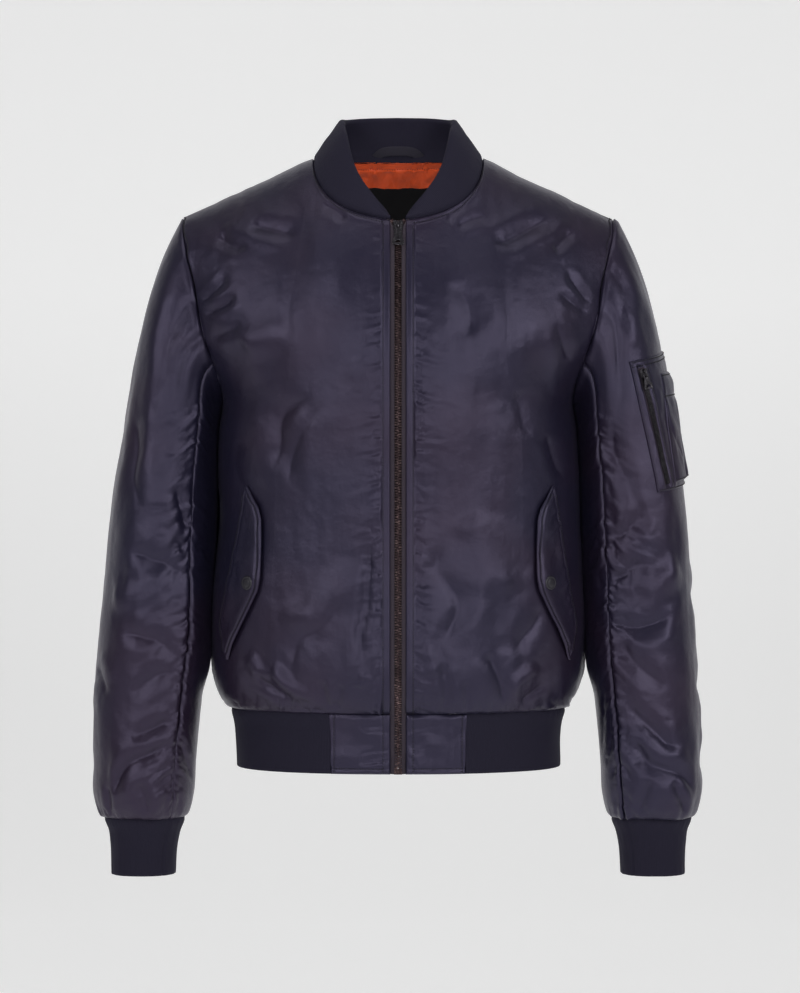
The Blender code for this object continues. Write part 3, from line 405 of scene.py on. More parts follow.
def body_depth(x, height, side):
    name = "front_depth" if side < 0 else "back_depth"
    roll = FRONT_RIDGE_DEPTH if side < 0 else BACK_RIDGE_DEPTH
    across = np.clip(np.abs(x) / read(BODY_FORM, "half_width", height), 0.0, 1.0)
    section = (1.0 - across ** SECTION_ROUNDNESS) ** (1.0 / SECTION_ROUNDNESS)
    fall = np.clip((ridge(x) - height) / roll, 0.0, 1.0)
    over = np.sqrt(1.0 - (1.0 - fall) ** 2)
    return side * read(BODY_FORM, name, height) * section * over


def side_edge(height):
    seam = read(BODY_FORM, "half_width", height)
    return np.where(height > ARMPIT, read(ARMHOLE_FORM, "x", height), seam)


def turn(x, height):
    across = np.clip(x / read(BODY_FORM, "half_width", height), 0.0, 1.0)
    return np.arcsin(across ** (SECTION_ROUNDNESS / 2.0))


def turn_span(height, edge):
    first = turn(np.full_like(height, edge), height)
    return first, turn(side_edge(height), height)


def neck_columns(start, count):
    """Shares of a panel's columns that end at the neckline: even steps along the neckline."""
    return NECK_SHARE - (NECK_SHARE - start) * np.linspace(1.0, 0.0, count) ** 2


def top_edge(share, side, edge):
    if share < NECK_SHARE:
        start = math.asin((edge / NECK_HALF_WIDTH) ** (NECK_ROUNDNESS / 2.0))
        angle = start + (math.pi / 2.0 - start) * share / NECK_SHARE
        x = NECK_HALF_WIDTH * rounded(math.sin(angle), NECK_ROUNDNESS)
        drop = -NECK_FRONT_DROP if side < 0 else NECK_BACK_RISE
        return float(x), float(drop * rounded(math.cos(angle), NECK_ROUNDNESS))
    along = (share - NECK_SHARE) / (1.0 - NECK_SHARE)
    x = NECK_HALF_WIDTH + (SHOULDER_TIP_X - NECK_HALF_WIDTH) * along
    return x, float(ridge(x))


def smoothed(field, times):
    for step in range(times):
        padded = np.pad(field, 1, mode="edge")
        field = (padded[:-2, 1:-1] + padded[2:, 1:-1] + padded[1:-1, :-2]
                 + padded[1:-1, 2:] + 4.0 * field) / 8.0
    return field


def panel_directions(grid, shares, side):
    """Outward directions of a body panel: the form's own, and the grid's near its sides."""
    x, z = grid[..., 0], grid[..., 2]
    step = 0.0008
    by_x = (body_depth(x + step, z, side) - body_depth(x - step, z, side)) / (2.0 * step)
    by_z = (body_depth(x, z + step, side) - body_depth(x, z - step, side)) / (2.0 * step)
    form = unit(np.stack([by_x, -np.ones_like(x), by_z], axis=-1)) * -side
    near = ease((np.abs(shares) - 0.78) / 0.12)[None, :, None]
    return unit(form * (1.0 - near) + grid_normals(grid) * -side * near)


def panel_column(share, side, edge, below, above):
    """Points of one column of a body panel, from the hem seam to its top edge."""
    if share >= 1.0:
        upper = ARMHOLE_MIDDLE - ARMHOLE_REACH * np.cos(np.linspace(0.0, math.pi, above + 1))
        height = np.concatenate([np.linspace(HEM_SEAM, ARMPIT, below + 1), upper[1:]])
        x = side_edge(height)
        y = body_depth(x, height, side)
        y[:below + 1] = 0.0
        y[-1] = 0.0
        return np.stack([x, y, height], axis=-1)
    top_x, top_height = top_edge(share, side, edge)
    height = top_height + (HEM_SEAM - top_height) * np.linspace(0.0, 1.0, 481) ** 2
    first, last = turn_span(height, edge)
    top_share = (turn(top_x, height[0]) - first[0]) / (last[0] - first[0])
    spread = ease((top_height - height) / FAN_DROP)
    angle = first + (last - first) * (top_share + (share - top_share) * spread)
    x = read(BODY_FORM, "half_width", height) * rounded(np.sin(angle), SECTION_ROUNDNESS)
    line = np.stack([x, body_depth(x, height, side), height], axis=-1)[::-1]
    run = path_run(line)
    stops = np.linspace(0.0, run[-1], below + above + 1)
    return read_path(stops, run, line)


def panel_grid(side, edge, shares, below, above):
    return np.stack([panel_column(share, side, edge, below, above) for share in shares], axis=1)


# ---------------------------------------------------------------- form of the sleeve
def level_section(source, height, angle):
    outer = read(source, "outer_x", height)
    inner = read(source, "inner_x", height)
    across = (outer - inner) / 2.0 * rounded(np.cos(angle), SECTION_ROUNDNESS)
    depth = read(source, "half_depth", height) * rounded(np.sin(angle), SECTION_ROUNDNESS)
    y = read(source, "centre_y", height) - depth
    return np.stack([(outer + inner) / 2.0 + across, y, height + 0.0 * angle], axis=-1)


def armhole_line(angles):
    """The armhole seam, by the angle round the sleeve of the cloth that is sewn to it."""
    height = ARMHOLE_MIDDLE + ARMHOLE_REACH * np.cos(angles)
    x = side_edge(height)
    front = body_depth(x, height, -1)
    back = body_depth(x, height, 1)
    y = np.where(np.sin(angles) >= 0.0, front, back)
    y[np.abs(np.sin(angles)) < 1e-6] = 0.0
    return np.stack([x, y, height], axis=-1)


def sleeve_grid(angles, cap_rows, lower_heights):
    armhole = armhole_line(angles)
    top = SLEEVE_FORM["height"][-1]
    first = level_section(SLEEVE_FORM, np.full(len(angles), top), angles)
    reach = np.linalg.norm(first - armhole, axis=1, keepdims=True)
    dip = np.radians(53.0 - 23.0 * (1.0 - np.cos(angles)) / 2.0)
    leave = unit(np.stack([np.cos(dip), -0.3 * np.sin(angles), -np.sin(dip)], axis=-1))
    arrive = unit(np.array([[0.16, 0.0, -0.987]]))
    near = armhole + 0.29 * reach * leave
    far = first - 0.33 * reach * arrive
    rows = []
    for t in np.linspace(0.0, 1.0, cap_rows + 1):
        rows.append((1 - t) ** 3 * armhole + 3 * t * (1 - t) ** 2 * near
                    + 3 * t * t * (1 - t) * far + t ** 3 * first)
    for height in lower_heights:
        rows.append(level_section(SLEEVE_FORM, np.full(len(angles), height), angles))
    return np.stack(rows, axis=0)


# ---------------------------------------------------------------- meshes
def mirrored(grid, sign):
    return grid * np.array([float(sign), 1.0, 1.0])


def add_piece(name, mesh, finishes, node=None, body=BODY):
    piece = bpy.data.objects.new(name, mesh)
    bpy.context.scene.collection.objects.link(piece)
    for finish in finishes:
        mesh.materials.append(finish)
    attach(piece, body)
    if node:
        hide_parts(node)
    return piece


def grid_quads(index, flip=False):
    """Four corners for each square of a grid of point numbers."""
    corners = [index[:-1, :-1], index[:-1, 1:], index[1:, 1:], index[1:, :-1]]
    if flip:
        corners = corners[:1] + corners[:0:-1]
    return np.stack(corners, axis=-1).reshape(-1, 4)


def grid_mesh(name, grid, flip=False, ring=False):
    """A mesh of quads on a grid of points, with lengths in metres as its UV map."""
    index = np.arange(grid[..., 0].size).reshape(grid.shape[:2])
    corner = grid_quads(index, flip).reshape(-1)
    if ring:
        index[:, -1] = index[:, 0]
    quads = grid_quads(index, flip)
    across = np.median(run_lengths(grid, 1), axis=0)
    along = np.median(run_lengths(grid, 0), axis=1)
    u, v = np.meshgrid(across, along)
    mesh = bpy.data.meshes.new(name)
    mesh.from_pydata(grid.reshape(-1, 3).tolist(), [], quads.tolist())
    uv = np.stack([u.reshape(-1)[corner], v.reshape(-1)[corner]], axis=-1)
    mesh.uv_layers.new(name="metres").data.foreach_set("uv", uv.astype(np.float32).ravel())
    if ring:
        clean_loose(mesh)
    mesh.shade_smooth()
    return mesh


def turned_in(grid, outward, thickness):
    """A grid with one more row and column at each edge, which turn in behind the cloth."""
    for axis in (0, 1):
        first, last = np.take(grid, [0], axis), np.take(grid, [-1], axis)
        first_out, last_out = np.take(outward, [0], axis), np.take(outward, [-1], axis)
        grid = np.concatenate([first - first_out * thickness, grid,
                               last - last_out * thickness], axis=axis)
        outward = np.concatenate([first_out, outward, last_out], axis=axis)
    return grid


def add_shell(node, grid, outward, flip=False):
    """The outer cloth with its edges turned in, and a coarser lining sheet behind it."""
    face = turned_in(grid, outward, SHELL_THICKNESS)
    piece = add_piece(f"{node}_cloth", grid_mesh(node, face, flip), [SATIN], node)
    rows, columns = (np.unique(np.append(np.arange(0, count, INSIDE_STEP), count - 1))
                     for count in grid.shape[:2])
    inside = (grid - outward * INSIDE_DEPTH)[rows][:, columns]
    lining = add_piece(f"{node}_inside", grid_mesh(f"{node}_inside", inside, not flip),
                       [INSIDE])


def add_cloth(node, finish, grid, thickness, flip=False,
              facing=None):
    """A single piece of cloth with a thickness of its own. Facing is a direction and a
    place on the piece: there its faces look that way."""
    piece = add_piece(f"{node}_cloth", grid_mesh(node, grid, flip), [finish], node)
    if facing is not None:
        aim(piece, *facing)
    if thickness:
        thicken(piece, thickness)


def add_knit(node, grid, flip=False, ring=False):
    """A rib-knit band that is folded double and stretched."""
    piece = add_piece(f"{node}_knit", grid_mesh(node, grid, flip, ring), [RIB], node)
    return piece


def clean_loose(mesh):
    build = bmesh.new()
    build.from_mesh(mesh)
    loose = [v for v in build.verts if not v.link_faces]
    bmesh.ops.delete(build, geom=loose, context="VERTS")
    build.to_mesh(mesh)
    build.free()


def thicken(piece, thickness):
    wall = piece.modifiers.new("wall", "SOLIDIFY")
    wall.thickness = thickness
    wall.offset = -1.0
    wall.use_rim = True


def aim(piece, outward, near):
    """Turns a piece's faces so that they look out of the cloth."""
    middle = min(piece.data.polygons,
                 key=lambda face: (face.center - Vector(near)).length_squared)
    if middle.normal.dot(Vector(outward)) < 0.0:
        piece.data.flip_normals()


def joined_mesh(name, points, faces, smooth=True):
    """One mesh from many copies: a list of point arrays that share one list of faces."""
    count = len(points[0])
    all_points = np.concatenate(points).tolist()
    all_faces = []
    for copy in range(len(points)):
        start = copy * count
        all_faces += [tuple(start + i for i in face) for face in faces]
    mesh = bpy.data.meshes.new(name)
    mesh.from_pydata(all_points, [], all_faces)
    if smooth:
        mesh.shade_smooth()
    return mesh


LATHE_SIDES = 40


def lathe(name, profile, place):
    """A round part: a profile of radius and height turned about the Z of its place."""
    angles = np.linspace(0.0, 2.0 * math.pi, LATHE_SIDES + 1)
    grid = np.array([[place @ Vector((r * math.cos(a), r * math.sin(a), h)) for a in angles]
                     for r, h in profile])
    return grid_mesh(name, grid, ring=True)


def facing_frame(point, outward, up=(0.0, 0.0, 1.0)):
    """A place whose Z looks out and whose Y is as near as can be to a direction."""
    out = Vector(outward).normalized()
    up = (Vector(up) - out * out.dot(Vector(up))).normalized()
    place = Matrix((up.cross(out), up, out)).transposed().to_4x4()
    place.translation = Vector(point)
    return place


DROP_REACH = 0.03


class Cloth:
    """A folded surface that other pieces are laid on."""

    def __init__(self, grid):
        quads = grid_quads(np.arange(grid[..., 0].size).reshape(grid.shape[:2]))
        self.tree = BVHTree.FromPolygons(grid.reshape(-1, 3).tolist(), quads.tolist())

    def drop(self, point, outward):
        """Where a line from outside, against the outward direction, meets the cloth."""
        outward = Vector(outward).normalized()
        start = Vector(point) + outward * DROP_REACH
        hit = self.tree.ray_cast(start, -outward, 3.0 * DROP_REACH)
        return np.array(hit[0]) if hit[0] is not None else np.array(point, float)


# ---------------------------------------------------------------- stitches
def spindle_faces():
    faces = []
    for side in range(SPINDLE_SIDES):
        after = (side + 1) % SPINDLE_SIDES
        faces.append((0, 2 + after, 2 + side))
        faces.append((2 + side, 2 + after, 2 + SPINDLE_SIDES + after, 2 + SPINDLE_SIDES + side))
        faces.append((1, 2 + SPINDLE_SIDES + side, 2 + SPINDLE_SIDES + after))
    return faces


def stitches_along(path, outward):
    """Points of the stitches on a seam: short threads that dive in at both ends."""
    path, outward = np.asarray(path), np.asarray(outward)
    run = path_run(path)
    if run[-1] < STITCH_PITCH:
        return []
    middles = np.arange(STITCH_PITCH / 2.0, run[-1], STITCH_PITCH)
    centre, facing = read_path(middles, run, path), unit(read_path(middles, run, outward))
    along = unit(read_path(middles + STITCH_LENGTH / 2.0, run, path)
                 - read_path(middles - STITCH_LENGTH / 2.0, run, path))
    across = np.cross(along, facing)
    made = []
    angles = np.arange(SPINDLE_SIDES) * 2.0 * math.pi / SPINDLE_SIDES
    for c, t, n, b in zip(centre, along, facing, across):
        c = c + n * (STITCH_RADIUS * 0.6 - STITCH_SINK)
        ring = [(b * math.cos(a) + n * math.sin(a)) * STITCH_RADIUS for a in angles]
        dive = n * STITCH_RADIUS * 1.4
        tips = [c - t * STITCH_LENGTH / 2.0 - dive, c + t * STITCH_LENGTH / 2.0 - dive]
        made.append(np.array(tips + [c - t * STITCH_LENGTH * 0.3 + r for r in ring]
                             + [c + t * STITCH_LENGTH * 0.3 + r for r in ring]))
    return made


def trace(grid, outward, key, level):
    """The line where a quantity that grows along each row of a grid reaches a level."""
    levels = np.broadcast_to(level, (grid.shape[0],))
    path, facing = [], []
    for points, out, values, at in zip(grid, outward, key, levels):
        path.append(read_path(at, values, points))
        facing.append(read_path(at, values, out))
    return np.array(path), unit(np.array(facing))


def trace_down(grid, outward, key, level):
    return trace(grid.swapaxes(0, 1), outward.swapaxes(0, 1), key.T, level)


def sew(name, lines, finish, sign=1):
    """All stitches of some lines, each a path with its outward directions, as one piece."""
    copies = []
    for path, outward in lines:
        copies += stitches_along(mirrored(path, sign), mirrored(outward, sign))
    mesh = joined_mesh(name, copies, spindle_faces())
    return add_piece(name, mesh, [finish])


# ---------------------------------------------------------------- materials
class Wire:
    """A socket in a material. Arithmetic on it adds Math nodes."""

    def __init__(self, tree, socket):
        self.tree = tree
        self.socket = socket

    def maths(self, operation, first, second):
        node = self.tree.nodes.new("ShaderNodeMath")
        node.operation = operation
        for place, value in zip(node.inputs, (first, second)):
            if isinstance(value, Wire):
                self.tree.links.new(value.socket, place)
            else:
                place.default_value = value
        return Wire(self.tree, node.outputs[0])

    def __add__(self, other):
        return self.maths("ADD", self, other)

    def __radd__(self, other):
        return self.maths("ADD", other, self)

    def __sub__(self, other):
        return self.maths("SUBTRACT", self, other)

    def __rsub__(self, other):
        return self.maths("SUBTRACT", other, self)

    def __mul__(self, other):
        return self.maths("MULTIPLY", self, other)

    def __rmul__(self, other):
        return self.maths("MULTIPLY", other, self)

    def __pow__(self, other):
        return self.maths("POWER", self, other)

    def sine(self):
        return self.maths("SINE", self, 0.0)

    def size(self):
        return self.maths("ABSOLUTE", self, 0.0)


def darker(colour, share):
    return tuple(part * share for part in colour[:3]) + (1.0,)


def ridges(coordinate, pitch):
    """Even waves over a coordinate in metres."""
    return (coordinate * (2.0 * math.pi / pitch)).sine()


class Finish:
    """A material whose nodes come from one method."""

    def __init__(self, name):
        self.material = bpy.data.materials.new(name)
        self.material.use_nodes = True
        self.tree = self.material.node_tree
        self.shader = self.tree.nodes["Principled BSDF"]

    def node(self, kind, settings=None, sockets=None, output=0):
        made = self.tree.nodes.new(kind)
        for name, value in (settings or {}).items():
            setattr(made, name, value)
        for name, value in (sockets or {}).items():
            if isinstance(value, Wire):
                self.tree.links.new(value.socket, made.inputs[name])
            else:
                made.inputs[name].default_value = value
        return Wire(self.tree, made.outputs[output])

    def place(self, kind="Object"):
        return self.node("ShaderNodeTexCoord", output=kind)

    def cloth_axes(self):
        """Lengths across and along a piece, in metres."""
        split = self.tree.nodes.new("ShaderNodeSeparateXYZ")
        self.tree.links.new(self.place("UV").socket, split.inputs[0])
        return [Wire(self.tree, output) for output in split.outputs[:2]]

    def noise(self, vector, scale, detail=2.0, roughness=0.5):
        return self.node("ShaderNodeTexNoise", {},
                         {"Vector": vector, "Scale": scale, "Detail": detail,
                          "Roughness": roughness}, "Fac")

    def blend(self, share, first, second):
        return self.node("ShaderNodeMix", {"data_type": "RGBA"},
                         {"Factor": share, 6: first, 7: second}, 2)

    def ramp(self, value, low, high):
        return self.node("ShaderNodeMapRange", {"interpolation_type": "SMOOTHSTEP"},
                         {"Value": value, "From Min": low, "From Max": high})

    def bump(self, height, distance, strength=1.0, under=None):
        sockets = {"Height": height, "Distance": distance, "Strength": strength}
        if under is not None:
            sockets["Normal"] = under
        return self.node("ShaderNodeBump", {}, sockets)

    def finish(self, links, constants):
        for name, value in links.items():
            self.tree.links.new(value.socket, self.shader.inputs[name])
        for name, value in constants.items():
            self.shader.inputs[name].default_value = value
        return self.material


def satin_nylon():
    """Tight satin weave over thin padding: navy, turning to aubergine here and there."""
    cloth = Finish("satin_nylon")
    space = cloth.place()
    cast = cloth.ramp(cloth.noise(space, 5.5, 3.0), 0.40, 0.66)
    colour = cloth.blend(cast, (0.0070, 0.0064, 0.0160, 1.0), (0.0118, 0.0070, 0.0150, 1.0))
    u, v = cloth.cloth_axes()
    warp = (u * (2.0 * math.pi / 0.0007) + v * 900.0).sine()
    weft = ridges(v, 0.0009)
    crinkle = cloth.noise(space, 70.0, 3.0, 0.55)
    weave = cloth.bump(warp * weft, 0.00004, 0.5)
    soft = cloth.bump(crinkle, 0.0016, 0.4, weave)
    rough = 0.31 + cloth.noise(space, 22.0, 2.0) * 0.10
    return cloth.finish({"Base Color": colour, "Roughness": rough, "Normal": soft},
                        {"Specular IOR Level": 0.50, "Specular Tint": (0.75, 0.67, 1.0, 1.0),
                         "Sheen Weight": 0.04, "Sheen Roughness": 0.4,
                         "Sheen Tint": (0.62, 0.58, 0.95, 1.0)})


def rib_knit(name, colour, pitch):
    """Fine rib knit: ribs that run along V, with rows of loops across them."""
    knit = Finish(name)
    u, v = knit.cloth_axes()
    ribs = ridges(u, pitch)
    loops = ridges(v, 0.0012)
    fuzz = knit.noise(knit.place(), 260.0, 3.0)
    # Colour follows the ribs: darker in the valleys between them, which is painted shade, with
    # random fuzz as the yarn's own uneven tone.
    tone = knit.ramp(ribs * 0.5 + fuzz, -0.3, 1.2)
    base = knit.blend(tone, darker(colour, 0.8), colour)
    relief = knit.bump(ribs + loops * 0.12, 0.00016, 0.5)
    surface = knit.bump(fuzz, 0.0004, 0.3, relief)
    return knit.finish({"Base Color": base, "Normal": surface},
                       {"Roughness": 0.80, "Specular IOR Level": 0.14, "Sheen Weight": 0.03,
                        "Sheen Roughness": 0.5, "Sheen Tint": (0.6, 0.58, 0.9, 1.0)})


def plain_lining(name, colour, roughness, sheen):
    """Smooth lining cloth with a fine weave and small soft wrinkles."""
    cloth = Finish(name)
    space = cloth.place()
    u, v = cloth.cloth_axes()
    weave = ridges(u, 0.0006) * ridges(v, 0.0006)
    shade = cloth.ramp(cloth.noise(space, 40.0, 3.0), 0.3, 0.75)
    base = cloth.blend(shade, darker(colour, 0.8), colour)
    fine = cloth.bump(weave, 0.00004, 0.5)
    soft = cloth.bump(cloth.noise(space, 130.0, 2.0), 0.0008, 0.35, fine)
    return cloth.finish({"Base Color": base, "Normal": soft},
                        {"Roughness": roughness, "Specular IOR Level": 0.3,
                         "Sheen Weight": sheen})


def woven_tape(name, colour):
    """Herringbone tape of a zip or a loop."""
    tape = Finish(name)
    u, v = tape.cloth_axes()
    slant = ridges(u, 0.0030).size() * 3.0
    twill = (v * (2.0 * math.pi / 0.0009) + slant).sine()
    fuzz = tape.noise(tape.place(), 300.0, 2.0)
    # Colour follows the twill: darker in its grooves, which is painted shade, with random fuzz as
    # the yarn's own uneven tone.
    base = tape.blend(tape.ramp(twill + fuzz, -0.4, 1.4), darker(colour, 0.6), colour)
    return tape.finish({"Base Color": base, "Normal": tape.bump(twill, 0.00025, 0.6)},
                       {"Roughness": 0.75, "Specular IOR Level": 0.25, "Sheen Weight": 0.03})


def metal(name, colour, worn, roughness, metallic, coat=0.0):
    """Dark plated or painted metal, a little brighter where it is rubbed, and unevenly rough."""
    part = Finish(name)
    space = part.place()
    rubbed = part.ramp(part.noise(space, 420.0, 3.0, 0.6), 0.45, 0.75)
    base = part.blend(rubbed, colour, worn)
    rough = part.noise(space, 900.0, 2.0) * 0.14 + (roughness - 0.07)
    return part.finish({"Base Color": base, "Roughness": rough,
                        "Normal": part.bump(part.noise(space, 1500.0), 0.00006, 0.4)},
                       {"Metallic": metallic, "Coat Weight": coat, "Coat Roughness": 0.25})


def thread(name, colour):
    """Twisted sewing thread."""
    yarn = Finish(name)
    space = yarn.place()
    twist = yarn.noise(space, 1800.0, 1.0)
    return yarn.finish({"Base Color": yarn.blend(twist, darker(colour, 0.65), colour),
                        "Normal": yarn.bump(twist, 0.00015, 0.5)},
                       {"Roughness": 0.5, "Specular IOR Level": 0.4})


SATIN = satin_nylon()
RIB = rib_knit("rib_knit", (0.0120, 0.0104, 0.0215, 1.0), 0.0017)
INSIDE = plain_lining("inner_cloth", (0.0050, 0.0042, 0.0060, 1.0), 0.6, 0.0)
ORANGE = plain_lining("orange_lining", (0.95, 0.115, 0.028, 1.0), 0.42, 0.15)
DARK = plain_lining("dark_lining", (0.0028, 0.0022, 0.0026, 1.0), 0.7, 0.0)
TAPE = woven_tape("zip_tape", (0.0400, 0.0300, 0.0430, 1.0))
LOOP = woven_tape("loop_tape", (0.0260, 0.0230, 0.0360, 1.0))
COPPER = metal("dark_copper", (0.055, 0.036, 0.040, 1.0), (0.23, 0.155, 0.155, 1.0), 0.28, 0.9)
GUNMETAL = metal("gunmetal", (0.030, 0.028, 0.033, 1.0), (0.10, 0.095, 0.105, 1.0), 0.32, 0.9)
SNAP = metal("painted_snap", (0.007, 0.006, 0.011, 1.0), (0.011, 0.009, 0.016, 1.0), 0.40, 0.0)
# Navy thread of the shell's own colour, painted far darker: the darkness is painted shade of the
# stitch holes and of the valleys the stitches sit in.
SHADE_DARKENED_THREAD = thread("navy_thread_painted_shade", (0.0034, 0.0030, 0.0058, 1.0))
ORANGE_THREAD = thread("orange_thread", (0.55, 0.08, 0.02, 1.0))


# ---------------------------------------------------------------- body panels
ZIP_STITCH = 0.0155        # topstitching beside the zip, from the middle
NECK_STITCH = 0.0052       # topstitching below the collar, from the neck seam
ARM_STITCH = 0.0042        # topstitching beside the armhole seam
SEAM_TUCK = 0.0017
FRONT_ROWS = (186, 108)    # rows of a panel's grid below the armpit, and above it
BACK_ROWS = (118, 72)
BAR_TACK_HEIGHT = -0.160   # where the topstitching beside the armhole ends


def seam(distance, tuck=SEAM_TUCK):
    """Cloth is pulled in sharply along a seam and puffs up beside it."""
    valley = -tuck * np.exp(-(distance / 0.0020) ** 2)
    return valley + 0.45 * tuck * np.exp(-((distance - 0.0065) / 0.0045) ** 2)


def rolled_edge(distance, drop, width):
    """A free edge of doubled cloth, which rolls over to its other face."""
    return -drop * np.clip(1.0 - distance / width, 0.0, 1.0) ** 2


def groove(distance, depth, reach=0.0012):
    return -depth * np.exp(-(distance / reach) ** 2)


def wrinkles(waves, u, v):
    """Uneven waves with crisp valleys, which run along v; u is in wavelengths."""
    bent = u + 0.45 * waves(v * 1.3 + 5.0, u * 0.31)
    first = waves(bent, v * 0.55)
    second = waves(bent * 2.1 + 7.3, v * 1.1 + 3.0)
    valley = (1.0 - np.abs(first)) ** 5
    return 0.75 * first + 0.35 * second - 0.9 * valley + 0.25


def puckers(waves, distance, along, spacing, reach, height, slant=0.0):
    """Short uneven gathers that run away from a line of stitching."""
    lane = (along + slant * distance) / spacing
    uneven = 0.65 + 0.45 * waves(along / 0.050 + 3.1, 11.3)
    length = reach * (0.7 + 0.6 * (waves(along / 0.017, 6.7) + 1.0) / 2.0)
    rise = ease(distance / 0.004)
    fade = np.exp(-(distance / length) ** 1.5)
    return height * uneven * wrinkles(waves, lane, distance / 0.014) * rise * fade


def soft_waves(waves, across, up, height):
    """The unevenness of padded cloth that hangs from the shoulders."""
    broad = waves(across / 0.060 + 0.5 * waves(up / 0.09, 4.2), up / 0.095)
    middling = waves(across / 0.021 + 13.0, up / 0.045 + 5.0)
    streaks = waves(across / 0.0085 + 31.0, up / 0.050 + 9.0)
    small = waves(across / 0.0075 + 29.0, up / 0.0090 + 17.0)
    return height * (broad + 0.45 * middling + 0.12 * streaks + 0.05 * small)


def side_press(points, y_middle, y_reach, height):
    """Where the arm rests against the body, each is pressed close to the other."""
    z = points[..., 2]
    level = ease((z + 0.575) / 0.035) * ease((-0.224 - z) / 0.030)
    near = np.exp(-((points[..., 1] - y_middle) / y_reach) ** 2)
    top = 1.0 + 0.35 * np.exp(-((z + 0.266) / 0.014) ** 2)
    return height * level * near * top


def add_gathers(relief, waves, z, top_along, from_hem, to_top, to_side):
    """Small gathers at a panel's own seams, and calm cloth where it is sewn down."""
    relief += puckers(waves, to_top, top_along, 0.0070, 0.010, 0.0004)
    relief += puckers(waves, to_side, z, 0.0060, 0.011, 0.0006)
    relief *= ease(from_hem / 0.004) * ease(to_top / 0.005) * ease(to_side / 0.005)


def add_seams(relief, grid, from_hem, to_top, to_side):
    """The seams round a body panel, and the press of the arm on its side."""
    x, z = np.abs(grid[..., 0]), grid[..., 2]
    tip = np.exp(-((x - SHOULDER_TIP_X) / 0.025) ** 2) * (z > ARMPIT / 2.0)
    relief += seam(from_hem) + (seam(to_top, 0.0013) + seam(to_side)) * (1.0 - 0.7 * tip)
    relief += side_press(grid, 0.030, 0.030, 0.0068) * (to_side < 0.08)


def hold_seams(values, rows_below, sides, shoulders):
    """Keeps the seams between the fronts and the back on the plane that parts them."""
    values[:rows_below + 1, sides, 1] = 0.0
    for shoulder in shoulders:
        values[-1, shoulder, 1] = 0.0


def front_relief(grid, folds, seed):
    """Displacement of a front panel along its normals."""
    waves = Waves(seed)
    x, z = grid[..., 0], grid[..., 2]
    from_zip = x - ZIP_STITCH
    rows, columns = run_lengths(grid, 1), run_lengths(grid, 0)
    to_top = columns[-1:] - columns
    places = (columns, to_top, rows[:, -1:] - rows)
    relief = creases(folds, x, z, waves, 1.1, 1.15) + soft_waves(waves, x, z, 0.0025)
    out = np.maximum(from_zip, 0.0)
    low = ease((-0.13 - z) / 0.10)
    relief += puckers(waves, out, z, 0.0046, 0.019, 0.0021, 0.30) * (0.25 + 0.75 * low)
    relief += puckers(waves, columns, x, 0.0060, 0.017, 0.0028)
    add_gathers(relief, waves, z, x + z, *places)
    relief *= ease(out / 0.003)
    relief += 0.0011 * ease(out / 0.012) * np.exp(-out / 0.09)
    relief += groove(from_zip, 0.0005) + groove(to_top - NECK_STITCH, 0.0006) * (z > -0.08)
    add_seams(relief, grid, *places)
    return relief + rolled_edge(x - FRONT_EDGE, 0.0011, 0.0016)


def sew_front(word, sign, folded):
    """Topstitching beside the zip, below the collar and along the upper armhole."""
    outward = grid_normals(folded)
    x, z = folded[..., 0], folded[..., 2]
    across, up = run_lengths(folded, 1), run_lengths(folded, 0)
    zip_line = trace(folded[:-4], outward[:-4], x[:-4], ZIP_STITCH)
    neck = np.flatnonzero((x[-1] > ZIP_STITCH) & (x[-1] < NECK_HALF_WIDTH - 0.001))
    collar_line = trace_down(folded[:, neck], outward[:, neck], up[:, neck],
                             up[-1, neck] - NECK_STITCH)
    rows = np.flatnonzero(z[:, -1] > BAR_TACK_HEIGHT)
    arm_line = trace(folded[rows], outward[rows], across[rows], across[rows, -1] - ARM_STITCH)
    lines = [zip_line, collar_line, arm_line]
    tack = rows[0]
    for step in range(3):
        row = tack + step
        ends = np.linspace(across[row, -1] - 0.0080, across[row, -1] - 0.0010, 5)
        path = read_path(ends, across[row], folded[row])
        lines.append((path, np.repeat(outward[row:row + 1, -2], 5, axis=0)))
    sew(f"front_{word}_stitches", lines, SHADE_DARKENED_THREAD, sign)


def build_front(sign, folds, seed):
    near = np.linspace(0.0, 0.055, 24)
    shares = np.concatenate([near, neck_columns(0.055, 66)[1:],
                             np.linspace(NECK_SHARE, 0.965, 64)[1:],
                             np.linspace(0.965, 1.0, 9)[1:]])
    plain = panel_grid(-1, FRONT_EDGE, shares, *FRONT_ROWS)
    normals = panel_directions(plain, shares, -1)
    held = (FRONT_ROWS[0], -1, [slice(np.searchsorted(shares, NECK_SHARE), None)])
    hold_seams(normals, *held)
    normals = unit(normals)
    folded = plain + normals * front_relief(plain, folds, seed)[..., None]
    hold_seams(folded, *held)
    word = SIDE_WORDS[sign]
    add_shell(f"front_{word}", mirrored(folded, sign), mirrored(normals, sign),
              sign < 0)
    sew_front(word, sign, folded)
    return Cloth(mirrored(folded, sign)), plain


